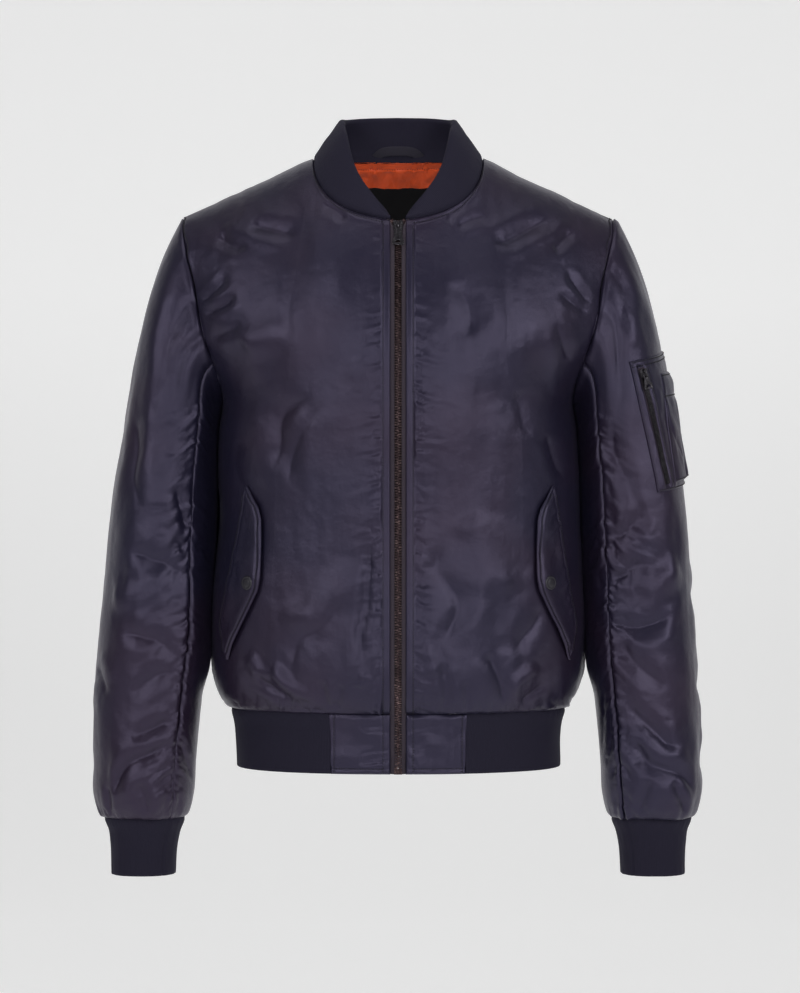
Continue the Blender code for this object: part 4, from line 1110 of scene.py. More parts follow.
def build_back():
    shares = np.concatenate([np.linspace(0.0, 0.22, 30), neck_columns(0.22, 24)[1:],
                             np.linspace(NECK_SHARE, 0.965, 56)[1:],
                             np.linspace(0.965, 1.0, 8)[1:]])
    half = panel_grid(1, 0.0, shares, *BACK_ROWS)
    plain = np.concatenate([mirrored(half, -1)[:, :0:-1], half], axis=1)
    normals = panel_directions(plain, np.concatenate([shares[:0:-1], shares]), 1)
    shoulder = len(shares) - np.searchsorted(shares, NECK_SHARE)
    held = (BACK_ROWS[0], [0, -1], [slice(0, shoulder), slice(-shoulder, None)])
    hold_seams(normals, *held)
    normals = unit(normals)
    waves = Waves(71)
    x, z = plain[..., 0], plain[..., 2]
    rows, columns = run_lengths(plain, 1), run_lengths(plain, 0)
    relief = creases(BACK_FOLDS, x, z, waves, 1.3, 0.75) + soft_waves(waves, x, z, 0.0022)
    relief += puckers(waves, columns, x, 0.0056, 0.014, 0.0016)
    to_top = columns[-1:] - columns
    places = (columns, to_top, np.minimum(rows, rows[:, -1:] - rows))
    add_gathers(relief, waves, z, x, *places)
    relief += groove(to_top - NECK_STITCH, 0.0006) * (np.abs(x) < NECK_HALF_WIDTH)
    add_seams(relief, plain, *places)
    folded = plain + normals * relief[..., None]
    hold_seams(folded, *held)
    add_shell("back", folded, normals, True)
    facing, up = -grid_normals(folded), run_lengths(folded, 0)
    neck = np.flatnonzero(np.abs(folded[-1, :, 0]) < NECK_HALF_WIDTH - 0.001)
    line = trace_down(folded[:, neck], facing[:, neck], up[:, neck], up[-1, neck] - NECK_STITCH)
    sew("back_stitches", [line], SHADE_DARKENED_THREAD)
    return half


# ---------------------------------------------------------------- sleeves
def sleeve_relief(grid, angles, folds, seed):
    waves = Waves(seed)
    around = np.where(angles > math.pi, angles - 2.0 * math.pi, angles) * SLEEVE_ROUND
    around = np.broadcast_to(around, grid.shape[:2])
    z = grid[..., 2]
    columns = run_lengths(grid, 0)
    to_cuff = columns[-1:] - columns
    turned = np.minimum(np.abs(angles - UNDER_TURN), np.abs(angles - 2 * math.pi + UNDER_TURN))
    to_seam = np.broadcast_to(turned * SLEEVE_ROUND, grid.shape[:2])
    relief = creases(folds, around, z, waves, 1.15, 0.95)
    relief += soft_waves(waves, around, z, 0.0024)
    gather = ease((-0.24 - z) / 0.06)
    slope = np.where(angles < math.pi, 0.55, -0.55)
    relief += puckers(waves, to_seam, z, 0.0036, 0.0110, 0.0019, slope) * gather
    relief += puckers(waves, to_seam, z + 0.31, 0.0095, 0.040, 0.0028, slope) * gather
    relief += puckers(waves, to_cuff, around, 0.0052, 0.014, 0.0021)
    relief += puckers(waves, columns, around, 0.0080, 0.012, 0.0004)
    hidden = np.exp(-((angles - math.pi) / 0.5) ** 2)
    relief = relief * (1.0 - 0.85 * hidden)
    relief *= ease(to_cuff / 0.004) * ease(columns / 0.005) * ease(to_seam / 0.003)
    if folds is SLEEVE_FOLDS_LEFT:
        over = ease((around + 0.030) / 0.020) * ease((0.112 - around) / 0.020)
        over = over * ease((-0.195 - z) / 0.015) * ease((z + 0.372) / 0.020)
        relief = relief * (1.0 - 0.85 * over)
    inner = np.broadcast_to(np.cos(angles) < 0.0, relief.shape)
    press = side_press(grid, -0.014, 0.022, 0.0046) * inner
    cap = np.exp(-(around / 0.045) ** 2)
    press += 0.0024 * cap * np.exp(-columns / 0.030)
    press += seam(columns) * (1.0 - 0.8 * cap)
    return relief + press + seam(to_seam, 0.0014) + seam(to_cuff)


def build_sleeve(sign, folds, seed):
    """The whole tube is folded first, and then cut at its two seams into its pieces."""
    near = UNDER_TURN - 0.12
    top_half = np.concatenate([np.linspace(0.0, near, 54), np.linspace(near, UNDER_TURN, 7)[1:]])
    under = np.linspace(UNDER_TURN, 2.0 * math.pi - UNDER_TURN, 42)
    angles = np.concatenate([top_half, under[1:], (2.0 * math.pi - top_half[::-1])[1:]])
    top = SLEEVE_FORM["height"][-1]
    bottom = SLEEVE_FORM["height"][0]
    levels = np.linspace(top, bottom, 226)[1:]
    plain = sleeve_grid(angles, 84, levels)
    normals = grid_normals(plain, ring=True)
    relief = sleeve_relief(plain, angles, folds, seed)
    relief[:, -1] = relief[:, 0]
    folded = plain + normals * relief[..., None]
    outward = grid_normals(folded, ring=True)
    word = SIDE_WORDS[sign]
    front_seam = len(top_half) - 1
    back_seam = front_seam + len(under) - 1
    count = len(angles) - 1
    top_columns = [c % count for c in range(back_seam, count + front_seam + 1)]
    under_columns = list(range(front_seam, back_seam + 1))
    for part, chosen, flat, area in (("top", top_columns, (0.330, 0.630), 0.165),
                                     ("under", under_columns, (0.150, 0.470), 0.052)):
        add_shell(f"sleeve_{part}_{word}", mirrored(folded[:, chosen], sign),
                  mirrored(outward[:, chosen], sign), sign < 0)
    return plain, folded, angles


# ---------------------------------------------------------------- rib bands
RIB_THICKNESS = 0.0028
COLLAR_THICKNESS = 0.0078
TUCK_DEPTH = 0.0032       # how far a seam allowance lies behind the cloth it is sewn to
INNER_STEP = 4            # rows of a band's outside to one row of its inside
TAB_SEEDS = {1: 31, -1: 32}
TAB_STITCH = 0.0055       # topstitching of a tab, from its free edges


def both_sides(half):
    """A grid over both sides of the middle, from its left half; the middle comes last."""
    return np.concatenate([half, mirrored(half, -1)[:, -2::-1]], axis=1)


def doubled(outer, normals, thickness, edge_steps=6):
    """A band folded double at its last row: outside, rounded edge and inside as one grid."""
    out = normals[-1]
    down = unit(outer[-1] - outer[-2])
    middle = outer[-1] - out * thickness / 2.0
    turn_rows = [middle + (out * math.cos(angle) + down * math.sin(angle)) * thickness / 2.0
                 for angle in (math.pi * step / edge_steps for step in range(1, edge_steps))]
    inner = (outer - normals * thickness)[::INNER_STEP]
    return np.concatenate([outer, np.stack(turn_rows), inner[::-1]], axis=0)


def tucked(outer, normals, tuck=0.0050):
    """Adds a seam allowance: a first row that goes behind the cloth it is sewn to."""
    back = outer[0] - unit(outer[1] - outer[0]) * tuck - normals[0] * TUCK_DEPTH
    return np.concatenate([back[None], outer])


def rib_band(outer, normals, relief):
    """A folded band with its seam allowance, from its outside and the relief on it."""
    outer = tucked(outer + normals * relief[..., None], normals)
    return doubled(outer, np.concatenate([normals[:1], normals]), RIB_THICKNESS)


def build_cuff(sign, seed):
    waves = Waves(seed)
    heights = np.linspace(CUFF_FORM["height"][-1], CUFF_FORM["height"][0] + 0.0016, 22)
    fine = np.linspace(0.0, 2.0 * math.pi, 181)
    outer = np.stack([level_section(CUFF_FORM, np.full(len(fine), h), fine) for h in heights])
    normals = grid_normals(outer, ring=True)
    down = (heights[0] - heights)[:, None]
    ripple = waves(fine[None, :] * 7.0, down / 0.02) * 0.0004
    gather = waves(fine[None, :] * 22.0, 2.0) * 0.0009 * np.exp(-down / 0.005)
    relief = ripple * ease(down / 0.01) + gather * ease(down / 0.002) + seam(down, 0.0010)
    relief = relief + groove((fine - UNDER_TURN)[None, :] * 0.036, 0.0011, 0.0011)
    relief[:, -1] = relief[:, 0]
    grid = rib_band(outer, normals, relief)
    add_knit(f"cuff_{SIDE_WORDS[sign]}", mirrored(grid, sign), sign < 0, True)


def hem_point(share, side, edge):
    """Point of the body's bottom edge by its share of the panel's width."""
    height = np.full(1, HEM_SEAM)
    first, last = turn_span(height, edge)
    angle = first + (last - first) * share
    x = read(BODY_FORM, "half_width", height) * rounded(np.sin(angle), SECTION_ROUNDNESS)
    return np.array([x[0], body_depth(x, height, side)[0], HEM_SEAM])


def hem_rows(top, depth_name, heights):
    scale_x = read(HEM_FORM, "half_width", heights) / HEM_FORM["half_width"][-1]
    scale_y = read(HEM_FORM, depth_name, heights) / HEM_FORM[depth_name][-1]
    rows = []
    for width, depth, height in zip(scale_x, scale_y, heights):
        row = top * np.array([width, depth, 1.0])
        row[:, 2] = height
        rows.append(row)
    return np.stack(rows)


def build_hem():
    """The rib from tab to tab round the back."""
    lowest = HEM_FORM["height"][0] + 0.0016
    heights = np.linspace(HEM_SEAM, lowest, 22)
    front = np.array([hem_point(s, -1, FRONT_EDGE)
                      for s in np.linspace(TAB_EDGE_SHARE, 1.0, 110)])
    back = np.array([hem_point(s, 1, 0.0) for s in np.linspace(1.0, 0.0, 130)])
    half = np.concatenate([hem_rows(front, "front_depth", heights)[:, :-1],
                           hem_rows(back, "back_depth", heights)], axis=1)
    outer = both_sides(half)
    normals = grid_normals(outer)
    if normals[0, 0, 1] > 0.0:
        normals = -normals
    waves = Waves(81)
    along = run_lengths(outer, 1)
    down = (heights[0] - heights)[:, None]
    relief = waves(along / 0.05, down / 0.03) * 0.0009 * ease(down / 0.02)
    relief += waves(along / 0.0034, 3.0) * 0.0008 * np.exp(-down / 0.005) * ease(down / 0.002)
    relief += seam(down, 0.0010)
    grid = rib_band(outer, normals, relief)
    piece = add_knit("hem_rib", grid)
    face = piece.data.polygons[len(piece.data.polygons) // 8]
    outward = Vector((face.center.x, face.center.y, 0.0))
    if face.normal.dot(outward) < 0.0:
        piece.data.flip_normals()


def build_tabs():
    """A nylon tab on each side of the zip, at the ends of the hem rib."""
    for sign, word in SIDE_WORDS.items():
        waves = Waves(TAB_SEEDS[sign])
        shares = np.linspace(0.0, TAB_EDGE_SHARE, 52)
        top = np.array([hem_point(s, -1, FRONT_EDGE) for s in shares])
        rows = np.linspace(HEM_SEAM, HEM_FORM["height"][0], 52)
        tab = hem_rows(top, "front_depth", rows)
        tab[..., 0] = np.maximum(tab[..., 0], FRONT_EDGE)
        normals = grid_normals(tab)
        normals *= -np.sign(normals[..., 1:2])
        x, z = tab[..., 0], tab[..., 2]
        edge_gap = np.minimum.reduce([x - FRONT_EDGE, tab[0, -1, 0] - x + 0.001,
                                      z - rows[-1]])
        relief = waves(x / 0.018, z / 0.014) * 0.0012 + waves(x / 0.007, z / 0.03) * 0.0005
        relief += puckers(waves, x, z, 0.011, 0.040, 0.0014)
        relief *= ease(edge_gap / 0.004) * ease((rows[0] - z) / 0.004)
        for line in (x - ZIP_STITCH, tab[0, -1, 0] - x - TAB_STITCH, z - rows[-1] - TAB_STITCH):
            relief += groove(line, 0.0007, 0.0011)
        relief += seam(rows[0] - z, 0.0012)
        relief += rolled_edge(edge_gap, 0.0012, 0.0016)
        folded = tab + normals * relief[..., None]
        add_cloth(f"hem_tab_{word}", SATIN, mirrored(folded, sign), 0.0026,
                  flip=sign > 0)
        sew_tab(word, sign, folded, normals, tab[0, -1, 0])


def sew_tab(word, sign, grid, outward, width):
    x, z = grid[..., 0], grid[..., 2]
    low = z[-1, 0] + TAB_STITCH
    beside_zip = trace(grid[:-1], outward[:-1], x[:-1], ZIP_STITCH)
    beside_rib = trace(grid[:-1], outward[:-1], x[:-1], width - TAB_STITCH)
    inside = np.flatnonzero((x[0] > ZIP_STITCH) & (x[0] < width - TAB_STITCH))
    bottom = trace_down(grid[::-1][:, inside], outward[::-1][:, inside], z[::-1][:, inside], low)
    sew(f"hem_tab_{word}_stitches", [beside_zip, beside_rib, bottom], SHADE_DARKENED_THREAD, sign)


BACK_NECK_PART = 0.867    # where the back neckline reaches the shoulder seam


def neck_seam(share):
    """Point of the neckline, from the zip (0) over the shoulder (0.5) to the back (1)."""
    if share < 0.5:
        x, height = top_edge(share / 0.5 * NECK_SHARE * 0.99999, -1, FRONT_EDGE)
        return np.array([x, float(body_depth(x, height, -1)), height])
    x, height = top_edge((1.0 - share) / 0.5 * NECK_SHARE * BACK_NECK_PART, 1, 0.0)
    return np.array([x, float(body_depth(x, height, 1)), height])


def rounded_corner(values, reach=5):
    """A run of values with its sharpest turns smoothed, and its ends kept."""
    window = np.hanning(2 * reach + 3)[1:-1]
    wide = np.pad(values, reach, mode="reflect", reflect_type="odd")
    return np.convolve(wide, window / window.sum(), "valid")


def collar_surface(shares, rise):
    sewn = np.array([neck_seam(s) for s in shares])
    even = np.linspace(0.0, 1.0, 301)
    edge = np.stack([np.interp(shares, even, rounded_corner(read(COLLAR_FORM, name, even), 14))
                     for name in ("x", "y", "height")], axis=-1)
    out = unit(np.cross(np.gradient(sewn, axis=0), edge - sewn))
    out = unit(np.stack([rounded_corner(out[:, k], 6) for k in range(3)], axis=-1))
    middle = (sewn + edge) / 2.0 + out * COLLAR_ROLL
    t = rise[:, None, None]
    return (1 - t) ** 2 * sewn + 2 * t * (1 - t) * middle + t * t * edge


def build_collar():
    shares = np.concatenate([0.5 - 0.5 * np.linspace(1.0, 0.0, 91) ** 2,
                             np.linspace(0.5, 1.0, 78)[1:]])
    half = collar_surface(shares, np.linspace(0.0, 0.955, 24))
    outer = both_sides(half)
    normals = grid_normals(outer)
    if normals[10, outer.shape[1] // 2, 1] < 0.0:
        normals = -normals
    waves = Waves(91)
    along = run_lengths(outer, 1)
    up = run_lengths(outer, 0)
    relief = waves(along / 0.03, up / 0.02) * 0.0006 * ease(up / 0.01)
    relief += waves(along / 0.006, 5.0) * 0.0005 * np.exp(-up / 0.006)
    relief += seam(up, 0.0012)
    both = np.concatenate([shares, shares[-2::-1]])
    outer = outer + normals * relief[..., None] * ease(both / 0.1)[None, :, None]
    thin = np.clip(0.3 + 3.0 * both, 0.0, 1.0)[None, :, None]
    outer = tucked(outer, normals * thin, 0.0045)
    grid = doubled(outer, np.concatenate([normals[:1], normals]) * thin, COLLAR_THICKNESS, 12)
    add_knit("collar", grid)


left_front, front_plain = build_front(1, FRONT_FOLDS_LEFT, 11)
right_front = build_front(-1, FRONT_FOLDS_RIGHT, 12)[0]
back_plain = build_back()
arm_plain, arm_folded, arm_angles = build_sleeve(1, SLEEVE_FOLDS_LEFT, 21)
build_cuff(1, 41)
build_sleeve(-1, SLEEVE_FOLDS_RIGHT, 22)
build_cuff(-1, 42)
build_hem()
build_tabs()
build_collar()


# ---------------------------------------------------------------- front zip
CHAIN_HALF = 0.0038
TOOTH_PITCH = 0.0027
TAPE_NEAR = 0.0036
TAPE_FAR = 0.0190
FIRST_TOOTH = 0.0165      # from the top of the zip, below the slider
LAST_TOOTH = 0.0075       # from its foot, above the box
OPEN_TEETH = (0.0008, 0.0025, 0.0042)     # beside the slider, where the two halves part


def splay(stop):
    return 0.0056 * ease((0.0125 - stop) / 0.0125)


def zip_line():
    """Middle line of the zip from the neck to the hem, with its outward directions."""
    panel = front_plain[::-1, 0] * np.array([0.0, 1.0, 1.0])
    top = np.array([[FRONT_EDGE, front_plain[0, 0, 1], HEM_SEAM]])
    rows = np.linspace(HEM_SEAM, HEM_FORM["height"][0], 20)[1:]
    tab = hem_rows(top, "front_depth", rows)[:, 0] * np.array([0.0, 1.0, 1.0])
    line = np.concatenate([panel, tab])
    along = unit(np.gradient(line, axis=0))
    outward = unit(np.cross(along, np.array([-1.0, 0.0, 0.0])))
    outward *= -np.sign(outward[:, 1:2])
    run = path_run(line)
    return line, along, outward, run


ZIP_LINE, ZIP_ALONG, ZIP_OUT, ZIP_RUN = zip_line()


def on_zip(stops, source):
    return read_path(stops, ZIP_RUN, source)


def zip_frame(stop):
    """Place on the zip's middle line, and the directions along it and out of it."""
    return [on_zip(stop, source) for source in (ZIP_LINE, ZIP_ALONG, ZIP_OUT)]


def tooth_shape():
    """One tooth, across, along and out: a head that grips the other side, and a neck."""
    points, faces = [], []
    outline = [(CHAIN_HALF, -0.0008), (0.0019, -0.00065), (0.0014, -0.0010), (0.0002, -0.0010),
               (-0.0006, -0.0005), (-0.0006, 0.0005), (0.0002, 0.0010), (0.0014, 0.0010),
               (0.0019, 0.00065), (CHAIN_HALF, 0.0008)]
    layers = [(0.86, -0.0026), (1.0, -0.0022), (1.0, -0.0008), (0.80, -0.0003)]
    count = len(outline)
    for scale, height in layers:
        points += [(0.0018 + (x - 0.0018) * scale, y * scale, height) for x, y in outline]
    for layer in range(len(layers) - 1):
        for i in range(count):
            j = (i + 1) % count
            a, b = layer * count + i, layer * count + j
            faces.append((a, b, b + count, a + count))
    faces.append(tuple(range(count))[::-1])
    last = (len(layers) - 1) * count
    faces.append(tuple(last + i for i in range(count)))
    return np.array(points), faces


TOOTH_POINTS, TOOTH_FACES = tooth_shape()
TOOTH_FACES_BY_SIDE = {-1: TOOTH_FACES, 1: [face[::-1] for face in TOOTH_FACES]}


def placed_tooth(across, along, out):
    """A tooth's points, turned to three directions."""
    return sum(np.outer(TOOTH_POINTS[:, k], line) for k, line in enumerate((across, along, out)))


def teeth_along(path, outward, pitch, scale, sign, shift):
    """One side of a chain of teeth along any path."""
    run = path_run(path)
    copies = []
    for stop in np.arange(shift * pitch, run[-1], pitch):
        m, n = read_path(stop, run, path), read_path(stop, run, outward)
        ahead = read_path(stop + 0.0005, run, path)
        t = unit(ahead - m) if stop + 0.0005 < run[-1] else t
        side = unit(np.cross(t, n)) * sign
        copies.append(m + placed_tooth(side, t, n) * scale)
    return copies


def build_teeth():
    for sign, word in SIDE_WORDS.items():
        shift = 0.25 * (1 - sign) * TOOTH_PITCH
        copies = []
        for stop in np.arange(FIRST_TOOTH + shift, ZIP_RUN[-1] - LAST_TOOTH, TOOTH_PITCH):
            m, t, n = zip_frame(stop)
            copies.append(m + placed_tooth((sign, 0.0, 0.0), t, n))
        for stop in OPEN_TEETH:
            m, t, n = zip_frame(stop)
            side = unit(np.array([sign * 0.80, 0.0, 0.0]) + t * 0.60)
            placed = placed_tooth(side, np.cross(n, side) * -sign, n)
            copies.append(m + np.array([sign * (splay(stop) - 0.0003), 0.0, 0.0]) + placed)
        mesh = joined_mesh(f"teeth_{word}", copies, TOOTH_FACES_BY_SIDE[sign], smooth=False)
        add_piece(f"zip_teeth_{word}", mesh, [COPPER], f"zip_chain_{word}")


def build_tapes():
    for sign, word in SIDE_WORDS.items():
        x = np.linspace(TAPE_NEAR, TAPE_FAR, 8)
        spread = np.linspace(1.0, 0.0, 8)
        stops = np.linspace(0.0, ZIP_RUN[-1] - 0.0002, 200)
        middle, out = on_zip(stops, ZIP_LINE), on_zip(stops, ZIP_OUT)
        apart = splay(stops)[:, None]
        closing = 0.0034 * ease((stops - ZIP_RUN[-1] + 0.022) / 0.004)
        places = x[None, :] - closing[:, None] * spread[None, :]
        grid = middle[:, None, :] + places[..., None] * np.array([sign, 0.0, 0.0])
        grid[..., 0] += sign * apart
        depth = 0.0012 + 0.0026 * ease((x - 0.0062) / 0.004)[None, :] + 0.0 * apart
        grid = grid - out[:, None, :] * depth[..., None]
        add_cloth(f"zip_tape_{word}", TAPE, grid, 0.0006,
                  flip=sign < 0)


# ---------------------------------------------------------------- sliders, tabs and box
def new_curve(name, dimensions, bevel, resolution):
    curve = bpy.data.curves.new(name, "CURVE")
    curve.dimensions = dimensions
    curve.bevel_depth = bevel
    curve.bevel_resolution = resolution
    return curve


def add_spline(curve, points):
    spline = curve.splines.new("POLY")
    spline.points.add(len(points) - 1)
    for point, spot in zip(spline.points, points):
        point.co = (*spot, 1.0)
    return spline


def plate(name, outlines, thickness, bevel, place):
    """A flat metal part with rounded edges: its outline, and the outlines of its holes."""
    curve = new_curve(name, "2D", bevel, 2)
    curve.fill_mode = "BOTH"
    curve.extrude = thickness / 2.0 - bevel
    curve.offset = -bevel
    for outline in outlines:
        add_spline(curve, [(x, y, 0.0) for x, y in outline]).use_cyclic_u = True
    return from_curve(curve, name, place)


def rod(name, points, radius, place):
    curve = new_curve(name, "3D", radius, 3)
    curve.use_fill_caps = True
    add_spline(curve, points)
    return from_curve(curve, name, place)


def from_curve(curve, name, place):
    holder = bpy.data.objects.new(name, curve)
    bpy.context.scene.collection.objects.link(holder)
    holder.matrix_world = place
    bpy.context.view_layer.update()
    mesh = bpy.data.meshes.new_from_object(
        holder.evaluated_get(bpy.context.evaluated_depsgraph_get()))
    mesh.transform(place)
    bpy.data.objects.remove(holder)
    return mesh


def merged(name, meshes):
    """One mesh from several."""
    build = bmesh.new()
    for mesh in meshes:
        build.from_mesh(mesh)
    made = bpy.data.meshes.new(name)
    build.to_mesh(made)
    build.free()
    return made


def half_round(radius, centre_y, flat=1.0):
    angles = np.linspace(0.0, math.pi, 12)
    return [(radius * math.cos(a), centre_y + flat * radius * math.sin(a)) for a in angles]


PULL_PIVOT = 0.0027      # height of a pull tab's hinge above the chain


def joint_frame(name, along_up):
    """Place of a slider on its chain, from the hinge of its pull tab."""
    joint = next(item for item in frame["joints"] if item["name"] == name)
    across = -Vector(joint["axis"]).normalized()
    up = Vector(along_up)
    up = (up - across * up.dot(across)).normalized()
    out = across.cross(up)
    place = Matrix((across, up, out)).transposed().to_4x4()
    place.translation = Vector(joint["pos_m"]) - out * PULL_PIVOT
    return place


# Right half of a slider's outline, from its foot to its mouth, in shares of its size.
SLIDER_HALF = ((0.30, -0.50), (0.42, -0.40), (0.44, 0.0), (0.50, 0.22), (0.50, 0.38),
               (0.40, 0.50), (0.14, 0.46))


def build_slider(place, width, length, name, node):
    right = [(width * x, length * y) for x, y in SLIDER_HALF]
    body = right + [(0.0, length * 0.40)] + [(-x, y) for x, y in right[::-1]]
    body = body[-1:] + body[:-1]
    cap = plate("cap", [body], 0.0013, 0.0004, place @ Matrix.Translation((0, 0, 0.00095)))
    sides = []
    for side in (-1.0, 1.0):
        rail = [(side * width * 0.43, -length * 0.38, 0.0), (side * width * 0.45, 0.0, 0.0),
                (side * width * 0.48, length * 0.32, 0.0)]
        sides.append(rod("rail", rail, 0.0007, place))
    bridge = [(0.0, 0.0038, 0.0012), (0.0, 0.0036, 0.0036), (0.0, 0.0028, 0.0043),
              (0.0, 0.0, 0.0046), (0.0, -0.0028, 0.0043), (0.0, -0.0036, 0.0036),
              (0.0, -0.0038, 0.0012)]
    arch = rod("bridge", bridge, 0.0009, place)
    add_piece(name, merged(name, [cap, arch] + sides), [GUNMETAL], node)


def build_pull(place, length, name, node, body, wide=1.0):
    """A long tab with a slot round the bridge and a half-round hole near its foot."""
    hinge = place @ Matrix.Translation((0.0, 0.0, PULL_PIVOT))
    right = [(0.0044, -length), (0.0052, -length * 0.93), (0.0050, -length * 0.80),
             (0.0034, -length * 0.55), (0.0030, -0.0060)]
    outline = (half_round(0.0031, -0.0016, 0.7)
               + [(-x, y) for x, y in right[::-1]] + right)
    outline = [(x * wide, y) for x, y in outline]
    slot = [(-0.0016, -0.0006), (-0.0016, -0.0046), (0.0016, -0.0046), (0.0016, -0.0006)]
    hole = half_round(0.0030, -length * 0.90)
    mesh = plate(name, [outline, slot, hole], 0.0012, 0.00035, hinge)
    ridge_bar = rod("bar", [(0.0, -0.0066, 0.0005), (0.0, -length * 0.68, 0.0005)], 0.0006, hinge)
    add_piece(name, merged(name, [mesh, ridge_bar]), [GUNMETAL], node, body)


def build_front_metal():
    up = -on_zip(0.0085, ZIP_ALONG)
    place = joint_frame("front_pull_hinge", up)
    build_slider(place, 0.0102, 0.0125, "front_slider", "zip_slider")
    build_pull(place, 0.0245, "front_pull", "zip_pull_tab", "front_pull_tab", 1.2)
    foot, along, out = zip_frame(ZIP_RUN[-1] - 0.0036)
    box_place = facing_frame(foot - out * 0.0009, out, -along)
    half, tall = 0.0041, 0.0036
    right = [(half, -tall), (half, tall * 0.7), (half * 0.7, tall), (half * 0.18, tall)]
    outline = right + [(0.0, tall * 0.55)] + [(-x, y) for x, y in right[::-1]]
    box = plate("box", [outline[-1:] + outline[:-1]], 0.0030, 0.0005, box_place)
    pin = rod("pin", [(0.0, -tall * 0.8, 0.0014), (0.0, tall * 0.4, 0.0014)], 0.0006, box_place)
    add_piece("front_box", merged("front_box", [box, pin]), [COPPER], "zip_box")


build_teeth()
build_tapes()
build_front_metal()


# ---------------------------------------------------------------- pocket flaps
FLAP_THICKNESS = 0.0022
FLAP_FREE_STITCH = 0.0048      # topstitching of a flap, from its free edge
FLAP_SEWN_STITCH = 0.0022      # and from the edge that is sewn on


def front_place(x, height, sign):
    """Point and outward direction of the plain front form, on either side."""
    step = 0.0005
    here = np.array([x, float(body_depth(x, height, -1)), height])
    right = np.array([x + step, body_depth(x + step, height, -1), height])
    up = np.array([x, body_depth(x, height + step, -1), height + step])
    return here * (sign, 1, 1), unit(np.cross(right - here, up - here)) * (sign, 1, 1)


def laid_on_front(cloth, sign, x, height):
    """Points and outward directions on a folded front, at widths and heights."""
    points, normals = np.zeros(x.shape + (3,)), np.zeros(x.shape + (3,))
    lifts = np.zeros(x.shape)
    for index in np.ndindex(x.shape):
        base, normal = front_place(x[index], height[index], sign)
        lifts[index] = np.dot(cloth.drop(base, normal) - base, normal)
        points[index], normals[index] = base, normal
    return points, normals, lifts


SNAP_X = 0.1530
SNAP_HEIGHT = -0.4500
SNAP_PROFILE = ((0.0, 0.0021), (0.0022, 0.0021), (0.0042, 0.0018), (0.0051, 0.0014),
                (0.0056, 0.0015), (0.0062, 0.0017), (0.0069, 0.0014), (0.0074, 0.0007),
                (0.0074, -0.0012))


def build_snap(word, cloth, sign):
    base, outward = front_place(SNAP_X, SNAP_HEIGHT, sign)
    hit = cloth.drop(base, outward)
    mesh = lathe(f"snap_{word}", SNAP_PROFILE, facing_frame(hit, outward))
    piece = add_piece(f"snap_{word}_cap", mesh, [SNAP], f"snap_{word}")
    aim(piece, outward, hit + outward * 0.002)


def flap_edge(heights, name):
    """Width at each height of one edge of a flap, with its corners a little softened."""
    edge = np.interp(heights, FLAP_FORM["height"], FLAP_FORM[name])
    return np.convolve(np.pad(edge, 2, mode="edge"), np.ones(5) / 5.0, "valid")


def build_flaps():
    rows, columns = 130, 44
    heights = np.linspace(FLAP_FORM["height"][0], FLAP_FORM["height"][-1], rows)
    sewn, free = (flap_edge(heights, name) for name in ("sewn_x", "free_x"))
    across = np.linspace(0.0, 1.0, columns)
    x = free[:, None] + (sewn - free)[:, None] * across
    level = heights[:, None] + 0.0 * x
    for front, sign, seed in ((left_front, 1, 41), (right_front, -1, 42)):
        word = SIDE_WORDS[sign]
        waves = Waves(seed)
        points, normals, lifts = laid_on_front(front, sign, x, level)
        run = run_lengths(points, 1)
        to_sewn = run[:, -1:] - run
        ends = np.minimum(level - heights[0], heights[-1] - level)
        edge = np.minimum.reduce([run, to_sewn, ends + 0.0006])
        base = np.maximum(smoothed(lifts, 40), lifts) + 0.0008
        stand = 0.0030 * ease((0.030 - run) / 0.030) * ease(ends / 0.02)
        puff = 0.0014 * ease(edge / 0.012) + waves(x / 0.02, level / 0.03) * 0.0009
        puff += waves(x / 0.008 + 4.0, level / 0.012) * 0.0006
        puff += puckers(waves, to_sewn, level, 0.0070, 0.020, 0.0016, 0.6)
        stitch = groove(edge - 0.0050, 0.0010, 0.0012)
        roll = rolled_edge(edge, FLAP_THICKNESS * 0.9, 0.0020)
        lift = base + FLAP_THICKNESS + stand + puff * ease(edge / 0.004) + stitch + roll
        grid = points + normals * lift[..., None]
        add_cloth(f"pocket_flap_{word}", SATIN, grid, FLAP_THICKNESS * 0.8,
                  sign < 0)
        wide = np.flatnonzero(run[:, -1] > 0.012)
        lines = [trace(grid[wide], normals[wide], run[wide], level)
                 for level in (FLAP_FREE_STITCH, run[wide, -1] - FLAP_SEWN_STITCH)]
        sew(f"pocket_flap_{word}_stitches", lines, SHADE_DARKENED_THREAD)
        build_snap(word, Cloth(grid), sign)


build_flaps()


# ---------------------------------------------------------------- sleeve pocket
POCKET_TOP = (-0.219, -0.202)
POCKET_BOTTOM = (-0.356, -0.344)
POCKET_FRONT_TURN = (84.0, 71.0)
POCKET_BACK_TURN = (-8.0, -14.0)
PEN_TOP = (43.0, -0.2300)
PEN_BOTTOM = (46.0, -0.3455)
PEN_BACK_TURN = 2.0
PATCH_STITCH = 0.0020              # stitching of a patch, from its edges
POCKET_STITCH = (0.0020, 0.0066)   # lines across the pocket, down from its top
PEN_STITCH = (0.0030, 0.0252)      # the same for the pen pocket
BESIDE_ARM_ZIP = 0.0085            # topstitching of the pocket, from its zip
ARM_TOOTH_PITCH = 0.0016
ARM_TOOTH_SCALE = 0.74
ARM_SLIDER_WIDTH = 0.0080
ARM_SLIDER_LENGTH = 0.0100
ARM_PULL_LENGTH = 0.0170
ARM_ZIP_TOP = (71.0, -0.2270)
ARM_ZIP_BOTTOM = (57.0, -0.3500)
arm_normals = grid_normals(arm_plain, ring=True)


